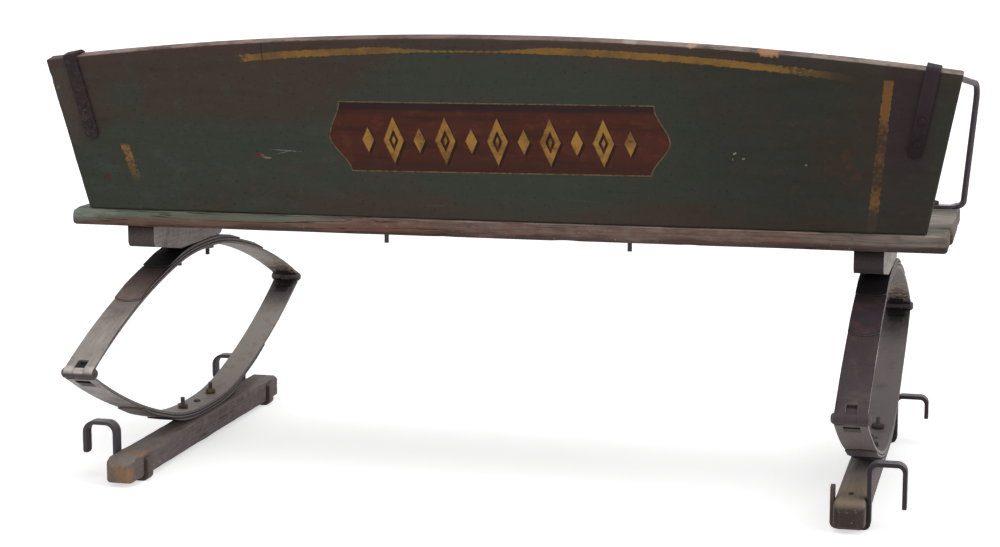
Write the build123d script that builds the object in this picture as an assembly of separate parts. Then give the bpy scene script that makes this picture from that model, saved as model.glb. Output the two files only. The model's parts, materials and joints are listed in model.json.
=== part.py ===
from build123d import *
from collections import namedtuple
from math import acos, atan, atan2, cos, degrees, hypot, radians, sin, sqrt, tan
import os

# Spring-mounted wagon seat: a plank bench with a flared, arched back. Each end is carried by a full
# elliptic leaf spring on a wooden bar, and the bars' forged hooks hang on the sides of a wagon box.
# Millimetres. X runs along the bench, +Y points the way the sitter faces, Z is up.
# The origin is on the ground, midway between the springs and midway between their eyes.

# ---------------------------------------------------------------- driving dimensions

# Wagon box that the seat fits
box_inner_width = 965.0          # 38 in, between the inner faces of the box sides
box_clearance = 0.5              # between each hook iron and its box side
box_side_gap = 36.0              # clear width inside a hook, for the box side and its cleat

# Hook irons
hook_iron_thickness = 5.0
hook_iron_width = 17.0
hook_clip_height = 26.0          # short leg up the bar's inner face, above the bar's underside
right_rear_clip_height = 46.0    # one was left longer
hook_end_radius = 5.0            # rounded corners of both ends of the iron
hook_corner_ease = 0.5           # its inside corners are this much sharper than the bar's edges
hook_screw_sink = 0.4            # screw heads lie this far inside the iron
left_hook_bend_radius = 13.0     # middle of the iron, at the top
right_hook_bend_radius = 9.0

# Each hook, as the smith left it: from its bar's end to its middle, and heights of its top and tip
left_rear_hook_inset = 49.0
left_rear_hook_top = 75.0
left_rear_hook_tip = 32.0
left_front_hook_inset = 50.0
left_front_hook_top = 73.0
left_front_hook_tip = 38.0
right_rear_hook_inset = 33.0
right_rear_hook_top = 82.0
right_rear_hook_tip = 26.0
right_front_hook_inset = 72.0
right_front_hook_top = 67.0
right_front_hook_tip = 35.0

# Lower bars
bar_width = 38.0
bar_height = 32.0
bar_rear_reach = 293.0           # from the middle of the spring to each end
bar_front_reach = 268.0
bar_edge_radius = 3.5            # worn long edges
bar_end_slope_length = 15.0      # top of each end is cut down at a slant
bar_end_slope_drop = 8.0
bar_end_corner = 5.0             # vertical corners of the ends

# Leaf springs
spring_offset = 7.5              # springs stand this much further out than the middles of the bars
leaf_width = 38.0                # 1 1/2 in
leaf_thickness = 4.0
leaf_gap = 0.15                  # between leaves of one pack
eye_half_span = 382.0            # from the middle of the spring to each eye
spring_rise = 219.5              # from the lower main leaf's middle to the upper one's
left_lower_rise = 118.0          # of that, up to the eyes: the two springs have settled differently
right_lower_rise = 111.0
seat_flat_half = 15.0            # straight middle of each leaf, half its length
arch_radius = 480.0              # bend of each main leaf next to its straight middle
arm_radius = 1100.0              # gentler bend from there to the eyes
second_leaf_half = 236.0         # half lengths, measured level
third_leaf_half = 138.0
leaf_end_bow = 8.0               # how far a second leaf's end curves out
leaf_end_clip = 6.0              # corners cut off a third leaf's ends
leaf_taper_length = 42.0         # ends of second and third leaves are drawn thin
leaf_tip_thickness = 1.8

# Eyes and pins
pin_diameter = 5.0
pin_clearance = 0.05             # radial, running fit in the rolled eyes
roll_sweep = 292.0               # degrees of leaf wrapped round the pin
middle_knuckle_width = 13.0      # lower leaf's eye, between the upper leaf's two
knuckle_gap = 0.3                # beside each knuckle
knuckle_sweep_clearance = 0.8    # round each knuckle, where the other leaf is cut away
window_reach = 19.0              # slot in the upper leaf, from the pin inwards
tuck_slot_near = 11.0            # slot in the lower leaf, from the pin to its two ends
tuck_slot_far = 21.0
tuck_slot_width = 20.0
tuck_slot_corner = 1.2
window_corner = 2.0
pin_head_diameter = 12.5
pin_head_height = 3.2

# Clamp bolts and pack rivets
clamp_bolt_y = 52.0              # fore and aft of the middle of the spring
bolt_diameter = 6.0
bolt_hole_clearance = 0.3        # radial
bolt_head_diameter = 16.0
bolt_head_height = 2.6
head_taper = 0.7                 # share of a head's height, and as much off its rim, that is tapered
bolt_tail = 9.0                  # thread left standing beyond a nut
nut_width = 12.7
nut_thickness = 5.5
nut_chamfer = 0.7
nut_turn = 28.0                  # degrees, as the nuts happen to stand
fastener_gap = 0.05              # under nuts and heads
pack_rivet_diameter = 5.0
pack_rivet_head_diameter = 10.0
pack_rivet_head_height = 2.8
rivet_recess_room = 1.0          # beyond the buried head
rivet_recess_clearance = 0.1     # radial

# Cleats between the springs and the seat
cleat_width = 36.0
cleat_height = 42.0              # at the spring
cleat_end_height = 27.0          # at the rear end
cleat_taper_start = 88.0         # behind the middle of the spring
cleat_rear_reach = 182.0
cleat_front_reach = 66.0
cleat_rear_corner = 9.0          # rounded lower corners
cleat_front_corner = 13.0

# Seat boards
seat_length = 1116.0             # rear board
front_board_extra = 3.0          # front board stands out this much more at each end
seat_thickness = 22.0
seat_rear_y = -190.0
rear_board_depth = 71.5
board_gap = 1.0                  # open joint between the two boards
front_board_depth = 214.5
board_edge_radius = 5.0

# Backboard
back_inset = 2.0                 # outer face stands in from the seat's rear edge
back_lean = 10.84                # degrees back from upright
back_thickness = 22.0
back_bottom_half = 533.0
back_corner_half = 571.5         # half width at the top corners
back_corner_height = 196.5       # up the slope of the board
back_peak_height = 232.0         # at the middle of the arched top
back_corner_radius = 4.0         # worn top corners
back_edge_radius = 2.5

# Arm irons: a strap on the back that turns over its top edge and runs forward as a round rail
strap_width = 17.0
strap_thickness = 3.5
strap_end_inset = 35.6           # from the board's flared end to the strap's middle
strap_foot_height = 95.0         # up the slope of the board
strap_top_gap = 0.9              # over the sloping top edge
strap_over_reach = 8.0           # flat of the strap beyond the board's inner face
strap_foot_radius = 8.2          # corners of the strap's lower end
strap_bend_radius = 4.0          # middle of the iron
strap_rivet_heights = (113.0, 141.0)
strap_rivet_diameter = 5.0
strap_rivet_head_diameter = 9.5
strap_rivet_head_height = 2.4
rail_diameter = 8.0
rail_taper_length = 32.0         # forged from strap to round
rail_top_x = 579.0               # upper bend, at the front
rail_top_y = 66.0
rail_top_height = 170.5          # above the seat
rail_foot_x = 565.0              # lower bend
rail_foot_y = 70.0
rail_top_bend_radius = 24.0
rail_foot_bend_radius = 8.0
rail_pad_length = 30.0
rail_pad_width = 16.0
rail_pad_thickness = 4.5
rail_pad_radius = 7.5            # corners of the pad's end
rail_pad_start = 18.0            # from the lower bend's corner to the flat pad
rail_taper_foot = 9.0
rail_bolt_from_end = 9.0
rail_bolt_tail = 4.0

# Knees that brace the back from inside
knee_left_x = -147.0
knee_right_x = 168.0
knee_width = 20.0
knee_thickness = 4.0
knee_rise = 105.0                # up the back
knee_foot_length = 52.0          # along the seat
knee_bend_radius = 5.0
knee_end_radius = 4.0            # corners of both ends
knee_bolt_inset = 25.0           # from the back's inner face
knee_bolt_tail = 11.0
knee_bolt_head_diameter = 12.0
knee_screw_heights = (48.0, 88.0)

# Wood screws
screw_diameter = 4.0
screw_head_diameter = 8.0
screw_head_depth = 2.4
screw_length = 16.0
seat_screw_length = 34.0
seat_screw_rows = (-166.0, -138.0, -84.0, 22.0)   # along each cleat

# Modelling
overcut = 1.0                    # how far a cut runs past the face that it starts from
same_length = 0.01               # lengths nearer than this are the same

# ---------------------------------------------------------------- worked-out places

bar_outer_x = box_inner_width / 2 - box_clearance - hook_iron_thickness
bar_x = bar_outer_x - bar_width / 2
spring_x = bar_x + spring_offset
bar_underside = hook_iron_thickness
bar_top = bar_underside + bar_height

leaf_pitch = leaf_thickness + leaf_gap
pack_to_main = 2 * leaf_pitch + leaf_gap + leaf_thickness / 2    # from a clamp face to the main leaf
lower_main_z = bar_top + pack_to_main
upper_main_z = lower_main_z + spring_rise
cleat_bottom = upper_main_z + pack_to_main
seat_underside = cleat_bottom + cleat_height
seat_top = seat_underside + seat_thickness

eye_bore_radius = pin_diameter / 2 + pin_clearance
roll_radius = eye_bore_radius + leaf_thickness / 2
eye_outer_radius = eye_bore_radius + leaf_thickness
knuckle_clear_radius = eye_outer_radius + knuckle_sweep_clearance

front_board_rear_y = seat_rear_y + rear_board_depth + board_gap

lean = radians(back_lean)
back_foot_y = seat_rear_y + back_inset
back_inner_foot_y = back_foot_y + back_thickness / cos(lean)
back_arch_rise = back_peak_height - back_corner_height
back_arch_radius = (back_corner_half ** 2 + back_arch_rise ** 2) / (2 * back_arch_rise)
end_flare = atan((back_corner_half - back_bottom_half) / back_corner_height)

# Plane of the back's painted face: local x along the bench, local y up the slope, normal outwards
back_plane = Plane(origin=(0, back_foot_y, seat_top), x_dir=(1, 0, 0), z_dir=(0, -cos(lean), -sin(lean)))

bolt_hole_diameter = bolt_diameter + 2 * bolt_hole_clearance
nut_half_diagonal = nut_width / sqrt(2)
rivet_recess_diameter = pack_rivet_head_diameter + 2 * rivet_recess_clearance
rail_bolt_x = rail_foot_x - rail_pad_start - rail_pad_length + rail_bolt_from_end
knee_bolt_y = back_inner_foot_y + knee_bolt_inset

# Side of the bench, place along the bar, heights of the top, the tip and the clip, bend of the middle
Hook = namedtuple("Hook", "name side y top tip clip bend_radius")
hooks = [
    Hook("left_rear_hook", -1, left_rear_hook_inset - bar_rear_reach,
         left_rear_hook_top, left_rear_hook_tip, hook_clip_height, left_hook_bend_radius),
    Hook("left_front_hook", -1, bar_front_reach - left_front_hook_inset,
         left_front_hook_top, left_front_hook_tip, hook_clip_height, left_hook_bend_radius),
    Hook("right_rear_hook", 1, right_rear_hook_inset - bar_rear_reach,
         right_rear_hook_top, right_rear_hook_tip, right_rear_clip_height, right_hook_bend_radius),
    Hook("right_front_hook", 1, bar_front_reach - right_front_hook_inset,
         right_front_hook_top, right_front_hook_tip, hook_clip_height, right_hook_bend_radius),
]

# Side of the bench, and rises of the lower and the upper main leaf
Spring = namedtuple("Spring", "name side lower_rise upper_rise")
springs = [
    Spring("left", -1, left_lower_rise, spring_rise - left_lower_rise),
    Spring("right", 1, right_lower_rise, spring_rise - right_lower_rise),
]


# ---------------------------------------------------------------- helpers

def bend_drop(y):
    """How far a main leaf falls away near its flat middle, at a distance from the middle."""
    beyond = max(0.0, abs(y) - seat_flat_half)
    return arch_radius - sqrt(arch_radius ** 2 - beyond ** 2)


def hole(x, y, z_low, z_high, diameter):
    return Pos(x, y, (z_low + z_high) / 2) * Cylinder(diameter / 2, z_high - z_low)


def round_head(diameter, height):
    """A low, tapered round head standing on z = 0."""
    disc = Cylinder(diameter / 2, height, align=(Align.CENTER, Align.CENTER, Align.MIN))
    return chamfer(disc.edges().group_by(Axis.Z)[-1], height * head_taper)


def square_nut(bore):
    """A square nut standing on z = 0, with a hole for its bolt."""
    block = Rot(0, 0, nut_turn) * Box(nut_width, nut_width, nut_thickness,
                                      align=(Align.CENTER, Align.CENTER, Align.MIN))
    block = chamfer(block.edges().group_by(Axis.Z)[-1], nut_chamfer)
    return block - hole(0, 0, -overcut, nut_thickness + overcut, bore)


def wood_screw(length):
    """A countersunk screw whose flat head lies on z = 0, pointing down."""
    neck = screw_diameter / 2
    outline = Polyline((0, 0), (screw_head_diameter / 2, 0), (neck, -screw_head_depth),
                       (neck, -length + 2 * neck), (0, -length), close=True)
    return revolve(Plane.XZ * make_face(outline), Axis.Z)


def screw_seat(length):
    """The hole that a countersunk screw fills, a little larger all round."""
    neck = screw_diameter / 2 + fastener_gap
    rim = screw_head_diameter / 2 + fastener_gap
    outline = Polyline((0, overcut), (rim, overcut), (rim, 0), (neck, -screw_head_depth - fastener_gap),
                       (neck, -length - fastener_gap), (0, -length - fastener_gap), close=True)
    return revolve(Plane.XZ * make_face(outline), Axis.Z)


def on_back(x, height, depth=0.0):
    """A place on the back's painted face, or that deep into the board, with z pointing outwards."""
    return back_plane.location * Pos(x, height, -depth)


def as_node(name, *solids):
    """One node of separate solids, with its name as the STEP label."""
    node = solids[0] if len(solids) == 1 else Compound(children=list(solids))
    node.label = name
    return node


def mirrored(shape):
    return mirror(shape, about=Plane.YZ)


# ---------------------------------------------------------------- leaf springs

def leaf_bends(rise):
    """Centres of a leaf's two bends, and the angles of its normal where they meet and at the eye.

    The arch runs over into the gentler arm, and the arm ends tangent to the rolled eye.
    """
    arch = Vector(seat_flat_half, rise - arch_radius)
    eye = Vector(eye_half_span, 0)
    away = hypot(eye.X - arch.X, arch.Y)
    apart = arm_radius - arch_radius
    reach = arm_radius - roll_radius
    turn = acos((reach ** 2 - away ** 2 - apart ** 2) / (2 * away * apart))
    meet = atan2(-arch.Y, eye.X - arch.X) + turn
    arm = arch - Vector(cos(meet), sin(meet)) * apart
    return arch, arm, meet, atan2(-arm.Y, eye.X - arm.X)


def half_leaf(rise, layer):
    """Half of a leaf's side view, eye at height 0 and arch above it. Layer 0 is the main leaf."""
    arch, arm, meet, last = leaf_bends(rise)
    inner = layer * leaf_pitch - leaf_thickness / 2
    outer = inner + leaf_thickness
    sides = []
    for offset in (inner, outer):
        sides.append(CenterArc(arch, arch_radius + offset, 90, degrees(meet) - 90))
        sides.append(CenterArc(arm, arm_radius + offset, degrees(meet), degrees(last - meet)))
    root = Polyline((seat_flat_half, rise + outer), (0, rise + outer), (0, rise + inner),
                    (seat_flat_half, rise + inner))
    out = Vector(cos(last), sin(last))
    if layer == 0:
        eye = Vector(eye_half_span, 0)
        roll_end = last - radians(roll_sweep)
        tip = Vector(cos(roll_end), sin(roll_end))
        end = [
            CenterArc(eye, eye_outer_radius, degrees(last), -roll_sweep),
            Line(eye + tip * eye_outer_radius, eye + tip * eye_bore_radius),
            CenterArc(eye, eye_bore_radius, degrees(last), -roll_sweep),
        ]
    else:
        end = [Line(arm + out * (arm_radius + inner), arm + out * (arm_radius + outer))]
    return make_face([*sides, *root.edges(), *end])


def leaf_place(rise, offset, reach):
    """A point of a leaf's side view, that far outside the main leaf's middle line and that far from
    the middle, and the normal there."""
    arch, arm, meet, _ = leaf_bends(rise)
    centre = arch
    radius = arch_radius + offset
    if reach > arch.X + radius * cos(meet):
        centre = arm
        radius = arm_radius + offset
    normal = acos((reach - centre.X) / radius)
    out = Vector(cos(normal), sin(normal))
    return centre + out * radius, out


def drawn_end(rise, layer, half_length):
    """What the smith drew off the outer face of a short leaf's end, as a solid on the +Y side."""
    inner = layer * leaf_pitch - leaf_thickness / 2
    inner_end, out = leaf_place(rise, inner, half_length)
    start, start_out = leaf_place(rise, inner + leaf_thickness, half_length - leaf_taper_length)
    tip = inner_end + out * leaf_tip_thickness
    wedge = Polyline(start, tip, tip + out * leaf_thickness, start + start_out * leaf_thickness, close=True)
    return extrude(Plane.YZ * make_face(wedge), leaf_width, both=True)


def leaf_outline(half_length, layer):
    """Plan view of a second leaf, with bowed ends, or of a third leaf, with clipped corners."""
    half = leaf_width / 2
    if layer == 1:
        shoulder = half_length - leaf_end_bow
        ends = [ThreePointArc((-half, shoulder), (0, half_length), (half, shoulder)),
                ThreePointArc((half, -shoulder), (0, -half_length), (-half, -shoulder))]
        sides = [Line((half, shoulder), (half, -shoulder)), Line((-half, -shoulder), (-half, shoulder))]
        return make_face(ends + sides)
    block = Rectangle(leaf_width, 2 * half_length)
    return chamfer(block.vertices(), leaf_end_clip)


def leaf(rise, layer, lower):
    """A whole leaf at x = 0, with its eyes at height 0, arched up, or arched down for a lower one."""
    half = extrude(Plane.YZ * half_leaf(rise, layer), leaf_width / 2, both=True)
    solid = (half + mirror(half, about=Plane.XZ)).clean()
    low = rise - pack_to_main
    high = rise + 2 * pack_to_main
    for y in (-clamp_bolt_y, clamp_bolt_y):
        solid -= hole(0, y, low, high, bolt_hole_diameter)
    solid -= hole(0, 0, low, high, pack_rivet_diameter + 2 * fastener_gap)
    if layer == 0:
        for side in (-1, 1):
            solid = knuckle_cuts(solid, side, rise, lower)
    else:
        half_length = second_leaf_half if layer == 1 else third_leaf_half
        solid &= extrude(leaf_outline(half_length, layer), 2 * rise, both=True)
        wedge = drawn_end(rise, layer, half_length)
        solid -= wedge + mirror(wedge, about=Plane.XZ)
    return mirror(solid, about=Plane.XY) if lower else solid


def knuckle_cuts(solid, side, rise, lower):
    """Clears one end of a main leaf for the other leaf's part of the hinged eye."""
    eye_y = side * eye_half_span
    slope = 90 - degrees(leaf_bends(rise)[-1])
    arm_frame = Pos(0, eye_y, 0) * Rot(-side * slope, 0, 0)
    if lower:
        side_width = (leaf_width - middle_knuckle_width) / 2
        for x_side in (-1, 1):
            x = x_side * (middle_knuckle_width / 2 + side_width)
            solid -= Pos(x, eye_y, 0) * Rot(0, 90, 0) * Cylinder(knuckle_clear_radius, 2 * side_width)
        slot_length = tuck_slot_far - tuck_slot_near
        slot = Box(tuck_slot_width, slot_length, 4 * leaf_thickness)
        slot = fillet(slot.edges().filter_by(Axis.Z), tuck_slot_corner)
        middle = tuck_slot_near + slot_length / 2
        return solid - arm_frame * Pos(0, -side * middle, roll_radius) * slot
    window = middle_knuckle_width + 2 * knuckle_gap
    cut = Rot(0, 90, 0) * Cylinder(knuckle_clear_radius, window)
    slot = Box(window, window_reach, 4 * eye_outer_radius)
    slot = fillet(slot.edges().filter_by(Axis.Z), window_corner)
    return solid - Pos(0, eye_y, 0) * cut - arm_frame * Pos(0, -side * window_reach / 2, 0) * slot


def eye_pin():
    """A riveted pin along X, centred on the spring, with a round head outside each face."""
    shank_half = leaf_width / 2 + knuckle_gap
    shank = Rot(0, 90, 0) * Cylinder(pin_diameter / 2, 2 * shank_half)
    head = Pos(shank_half, 0, 0) * Rot(0, 90, 0) * round_head(pin_head_diameter, pin_head_height)
    return shank + head + mirrored(head)


# ---------------------------------------------------------------- bars and hooks

def bar():
    """A lower bar at x = 0: worn long edges, slanted top ends and clipped end corners."""
    length = bar_rear_reach + bar_front_reach
    solid = Pos(0, (bar_front_reach - bar_rear_reach) / 2, bar_underside + bar_height / 2) * Box(
        bar_width, length, bar_height)
    solid = chamfer(solid.edges().filter_by(Axis.Z), bar_end_corner)
    solid = fillet(solid.edges().filter_by(Axis.Y).group_by(SortBy.LENGTH)[-1], bar_edge_radius)
    for end_y, inward in ((-bar_rear_reach, 1), (bar_front_reach, -1)):
        slope_y = end_y + inward * bar_end_slope_length
        wedge = Polyline((end_y, bar_top - bar_end_slope_drop), (end_y, bar_top + overcut),
                         (slope_y, bar_top + overcut), (slope_y, bar_top), close=True)
        solid -= extrude(Plane.YZ * make_face(wedge), bar_width, both=True)
    return solid


def cut_bar_holes(solid, side):
    for y in (-clamp_bolt_y, clamp_bolt_y):
        solid -= hole(side * spring_offset, y, 0, bar_top + overcut, bolt_hole_diameter)
    recess_floor = bar_top - pack_rivet_head_height - rivet_recess_room
    solid -= hole(side * spring_offset, 0, recess_floor, bar_top + overcut, rivet_recess_diameter)
    for hook in hooks:
        if hook.side == side:
            solid -= Pos(0, hook.y, hook_screw_sink) * Rot(180, 0, 0) * screw_seat(screw_length)
    return solid


def hook_iron(hook):
    """A hook at x = 0 on its bar: clip, strap under the bar, riser, bridge and drop leg outside."""
    half = hook_iron_thickness / 2
    inner = -bar_width / 2 - half
    outer = bar_width / 2 + half
    drop = outer + box_side_gap + hook_iron_thickness
    under_radius = bar_edge_radius - hook_corner_ease + half
    corners = [(inner, half), (outer, half), (outer, hook.top - half), (drop, hook.top - half)]
    start = (inner, bar_underside + hook.clip)
    path = FilletPolyline(start, *corners, (drop, hook.tip),
                          radius=[under_radius, under_radius, hook.bend_radius, hook.bend_radius])
    section = Plane(origin=path @ 0, x_dir=(0, 0, 1), z_dir=path % 0)
    iron = sweep(section * Rectangle(hook_iron_width, hook_iron_thickness), path)
    for z in (start[1], hook.tip):
        ends = iron.edges().filter_by(lambda edge: abs(edge.center().Y - z) < same_length
                                      and abs(edge.length - hook_iron_thickness) < same_length)
        iron = fillet(ends, hook_end_radius)
    iron = Pos(0, hook.y, 0) * Rot(90, 0, 0) * iron
    iron -= Pos(0, hook.y, hook_screw_sink) * Rot(180, 0, 0) * screw_seat(screw_length)
    return iron if hook.side > 0 else mirrored(iron)


# ---------------------------------------------------------------- seat and back

def cleat():
    """A cleat at x = 0, deepest where the spring is clamped and tapered towards its rear end."""
    side_view = make_face(Polyline(
        (-cleat_rear_reach, seat_underside), (-cleat_rear_reach, seat_underside - cleat_end_height),
        (-cleat_taper_start, cleat_bottom), (cleat_front_reach, cleat_bottom),
        (cleat_front_reach, seat_underside), close=True))
    for along, radius in ((-cleat_rear_reach, cleat_rear_corner), (cleat_front_reach, cleat_front_corner)):
        lower_corner = side_view.vertices().filter_by(
            lambda corner: abs(corner.X - along) < same_length and corner.Y < seat_underside - same_length)
        side_view = fillet(lower_corner, radius)
    solid = extrude(Plane.YZ * side_view, cleat_width / 2, both=True)
    for y in (-clamp_bolt_y, clamp_bolt_y):
        solid -= hole(0, y, cleat_bottom - overcut, seat_underside + overcut, bolt_hole_diameter)
    recess_roof = cleat_bottom + pack_rivet_head_height + rivet_recess_room
    solid -= hole(0, 0, cleat_bottom - overcut, recess_roof, rivet_recess_diameter)
    for y in seat_screw_rows:
        solid -= Pos(0, y, seat_top) * screw_seat(seat_screw_length)
    return solid


def board_hole(x, y):
    """A bolt hole right through a seat board."""
    return hole(x, y, seat_underside - overcut, seat_top + overcut, bolt_hole_diameter)


def seat_board(length, rear_y, depth):
    middle = (0, rear_y + depth / 2, seat_underside + seat_thickness / 2)
    solid = Pos(*middle) * Box(length, depth, seat_thickness)
    solid = fillet(solid.edges().filter_by(Axis.X) + solid.edges().filter_by(Axis.Y), board_edge_radius)
    front_y = rear_y + depth
    for side in (-1, 1):
        for y in seat_screw_rows:
            if rear_y < y < front_y:
                solid -= Pos(side * spring_x, y, seat_top) * screw_seat(seat_screw_length)
        for y in (-clamp_bolt_y, clamp_bolt_y):
            if rear_y < y < front_y:
                solid -= board_hole(side * spring_x, y)
    return solid


def backboard():
    """Flared board with an arched top, leaning back, its foot cut level to stand on the seat."""
    below = 2 * back_thickness * tan(lean)
    foot_half = back_bottom_half - below * tan(end_flare)
    outline = make_face([
        *Polyline((-back_corner_half, back_corner_height), (-foot_half, -below),
                  (foot_half, -below), (back_corner_half, back_corner_height)).edges(),
        ThreePointArc((back_corner_half, back_corner_height), (0, back_peak_height),
                      (-back_corner_half, back_corner_height)),
    ])
    outline = fillet(outline.vertices().group_by(Axis.Y)[-1], back_corner_radius)
    solid = extrude(back_plane * outline, -back_thickness)
    rim = solid.edges().filter_by(lambda edge: abs(edge.length - back_thickness) > same_length
                                  and edge.center().Z > seat_top)
    solid = fillet(rim, back_edge_radius)
    solid -= Pos(0, back_foot_y, seat_top - below) * Box(2 * back_corner_half, 4 * back_thickness, 2 * below)
    for side in (-1, 1):
        for height in strap_rivet_heights:
            place = on_back(side * strap_x(height), height, back_thickness / 2)
            solid -= place * Cylinder(strap_rivet_diameter / 2 + fastener_gap, 2 * back_thickness)
    for x in (knee_left_x, knee_right_x):
        for height in knee_screw_heights:
            solid -= knee_screw_place(x, height) * screw_seat(screw_length)
    return solid


# ---------------------------------------------------------------- arm irons

def strap_x(height):
    """Middle of the strap at a height up the back: it runs parallel to the board's flared end."""
    return back_bottom_half + height * tan(end_flare) - strap_end_inset


def back_edge_height(x):
    """Height of the arched top edge up the slope."""
    return back_peak_height - back_arch_radius + sqrt(back_arch_radius ** 2 - x ** 2)


def arm_iron():
    """Right-hand arm iron: riveted strap, turned over the back, drawn round, and footed on the seat."""
    half = strap_thickness / 2
    foot_x = strap_x(strap_foot_height)
    top_x = strap_x(back_edge_height(foot_x))
    over_height = back_edge_height(top_x) + strap_top_gap + half
    strap_length = (over_height - strap_foot_height) / cos(end_flare)
    # The strap lies in its own plane: local x along the strap, local y inwards through the board
    foot = back_plane.from_local_coords(Vector(foot_x, strap_foot_height, fastener_gap + half))
    direction = back_plane.from_local_coords(Vector(sin(end_flare), cos(end_flare), 0)) - back_plane.origin
    inward = -back_plane.z_dir
    strap_plane = Plane(origin=foot, x_dir=direction, z_dir=direction.cross(inward))
    over = back_thickness + fastener_gap + half + strap_over_reach
    flat_path = FilletPolyline((0, 0), (strap_length, 0), (strap_length, over), radius=strap_bend_radius)
    section = Plane(origin=(0, 0, 0), x_dir=(0, 0, 1), z_dir=(1, 0, 0))
    strap = sweep(section * Rectangle(strap_width, strap_thickness), flat_path)
    foot_corners = strap.edges().filter_by(Axis.Y).group_by(Axis.X)[0]
    strap = strap_plane * fillet(foot_corners, strap_foot_radius)

    strap_end = strap_plane.from_local_coords(Vector(strap_length, over, 0))
    seat_level = seat_top + fastener_gap
    upper_bend = Vector(rail_top_x, rail_top_y, seat_top + rail_top_height)
    lower_bend = Vector(rail_foot_x, rail_foot_y, seat_level + rail_diameter / 2)
    forward = (upper_bend - strap_end).normalized()
    rail_start = strap_end + forward * rail_taper_length
    flat_end = Plane(origin=strap_end, x_dir=strap_plane.z_dir, z_dir=inward) * Rectangle(
        strap_width, strap_thickness)
    round_end = Plane(origin=rail_start, x_dir=strap_plane.z_dir, z_dir=forward) * Circle(rail_diameter / 2)
    neck = loft([flat_end.faces()[0], round_end.faces()[0]])

    rod_end = Vector(rail_foot_x - rail_pad_start + rail_taper_foot, rail_foot_y, lower_bend.Z)
    path = FilletPolyline(rail_start, upper_bend, lower_bend, rod_end,
                          radius=[rail_top_bend_radius, rail_foot_bend_radius])
    rod = sweep(Plane(origin=rail_start, z_dir=forward) * Circle(rail_diameter / 2), path)

    pad_x = rail_foot_x - rail_pad_start
    pad_z = seat_level + rail_pad_thickness / 2
    rod_face = Plane(origin=rod_end, x_dir=(0, 1, 0), z_dir=(-1, 0, 0)) * Circle(rail_diameter / 2)
    pad_face = Plane(origin=(pad_x, rail_foot_y, pad_z), x_dir=(0, 1, 0), z_dir=(-1, 0, 0)) * Rectangle(
        rail_pad_width, rail_pad_thickness)
    ankle = loft([rod_face.faces()[0], pad_face.faces()[0]])
    pad = Pos(pad_x - rail_pad_length / 2, rail_foot_y, pad_z) * Box(
        rail_pad_length, rail_pad_width, rail_pad_thickness)
    pad = fillet(pad.edges().filter_by(Axis.Z).group_by(Axis.X)[0], rail_pad_radius)
    iron = (strap + neck + rod + ankle + pad).clean()
    pad_top = seat_level + rail_pad_thickness
    iron -= hole(rail_bolt_x, rail_foot_y, seat_level - overcut, pad_top + overcut, bolt_hole_diameter)
    for height in strap_rivet_heights:
        rivet_hole = Cylinder(strap_rivet_diameter / 2 + fastener_gap, 4 * strap_thickness)
        iron -= on_back(strap_x(height), height) * rivet_hole
    return iron


def strap_rivet():
    """A rivet through strap and back along z, z = 0 on the strap, with a clinched head inside."""
    inner_z = -strap_thickness - back_thickness - 2 * fastener_gap
    head = round_head(strap_rivet_head_diameter, strap_rivet_head_height)
    shank = hole(0, 0, inner_z, fastener_gap, strap_rivet_diameter)
    return shank + Pos(0, 0, fastener_gap) * head + Pos(0, 0, inner_z) * Rot(180, 0, 0) * head


# ---------------------------------------------------------------- knees

def knee_screw_place(x, height):
    """A screw head on the knee's front face, pointing back through it into the board."""
    return on_back(x, height, back_thickness + fastener_gap + knee_thickness) * Rot(180, 0, 0)


def knee(x):
    """An angle iron in the corner between the back's inner face and the seat."""
    half = knee_thickness / 2
    gap = fastener_gap
    corner_y = back_inner_foot_y + (gap + half) / cos(lean) - (gap + half) * tan(lean)
    corner_z = seat_top + gap + half
    top = (corner_y - knee_rise * sin(lean), corner_z + knee_rise * cos(lean))
    path = FilletPolyline(top, (corner_y, corner_z), (corner_y + knee_foot_length, corner_z),
                          radius=knee_bend_radius)
    section = Plane(origin=path @ 0, x_dir=(0, 0, 1), z_dir=path % 0)
    iron = sweep(section * Rectangle(knee_width, knee_thickness), path)
    iron = Plane.YZ * iron
    tips = iron.edges().filter_by(lambda edge: abs(edge.length - knee_thickness) < same_length)
    iron = Pos(x, 0, 0) * fillet(tips, knee_end_radius)
    iron -= hole(x, knee_bolt_y, seat_top - overcut, corner_z + half + overcut, bolt_hole_diameter)
    for height in knee_screw_heights:
        iron -= knee_screw_place(x, height) * screw_seat(screw_length)
    return iron


# ---------------------------------------------------------------- assembly

nodes = []
layer_names = ("main", "second", "third")

# Base: what hangs on the wagon box
for spring in springs:
    wood = cut_bar_holes(bar(), spring.side)
    nodes.append(as_node(f"{spring.name}_bar", Pos(spring.side * bar_x, 0, 0) * wood))
for hook in hooks:
    nodes.append(as_node(hook.name, Pos(hook.side * bar_x, 0, 0) * hook_iron(hook)))
nodes.append(as_node("hook_screws", *[
    Pos(hook.side * bar_x, hook.y, hook_screw_sink) * Rot(180, 0, 0) * wood_screw(screw_length)
    for hook in hooks]))

# Spring packs: lower leaves stay with the bars, upper leaves with the seat, pins between them
for spring in springs:
    eye_z = lower_main_z + spring.lower_rise
    for level, rise, lower in (("lower", spring.lower_rise, True), ("upper", spring.upper_rise, False)):
        for layer, layer_name in enumerate(layer_names):
            solid = Pos(spring.side * spring_x, 0, eye_z) * leaf(rise, layer, lower)
            nodes.append(as_node(f"{spring.name}_{level}_{layer_name}_leaf", solid))
    for end_name, end in (("rear", -1), ("front", 1)):
        solid = Pos(spring.side * spring_x, end * eye_half_span, eye_z) * eye_pin()
        nodes.append(as_node(f"{spring.name}_{end_name}_eye_pin", solid))

clamp_places = [(side * spring_x, y) for side in (-1, 1) for y in (-clamp_bolt_y, clamp_bolt_y)]
nut_drop = bend_drop(clamp_bolt_y + nut_half_diagonal)

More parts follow.
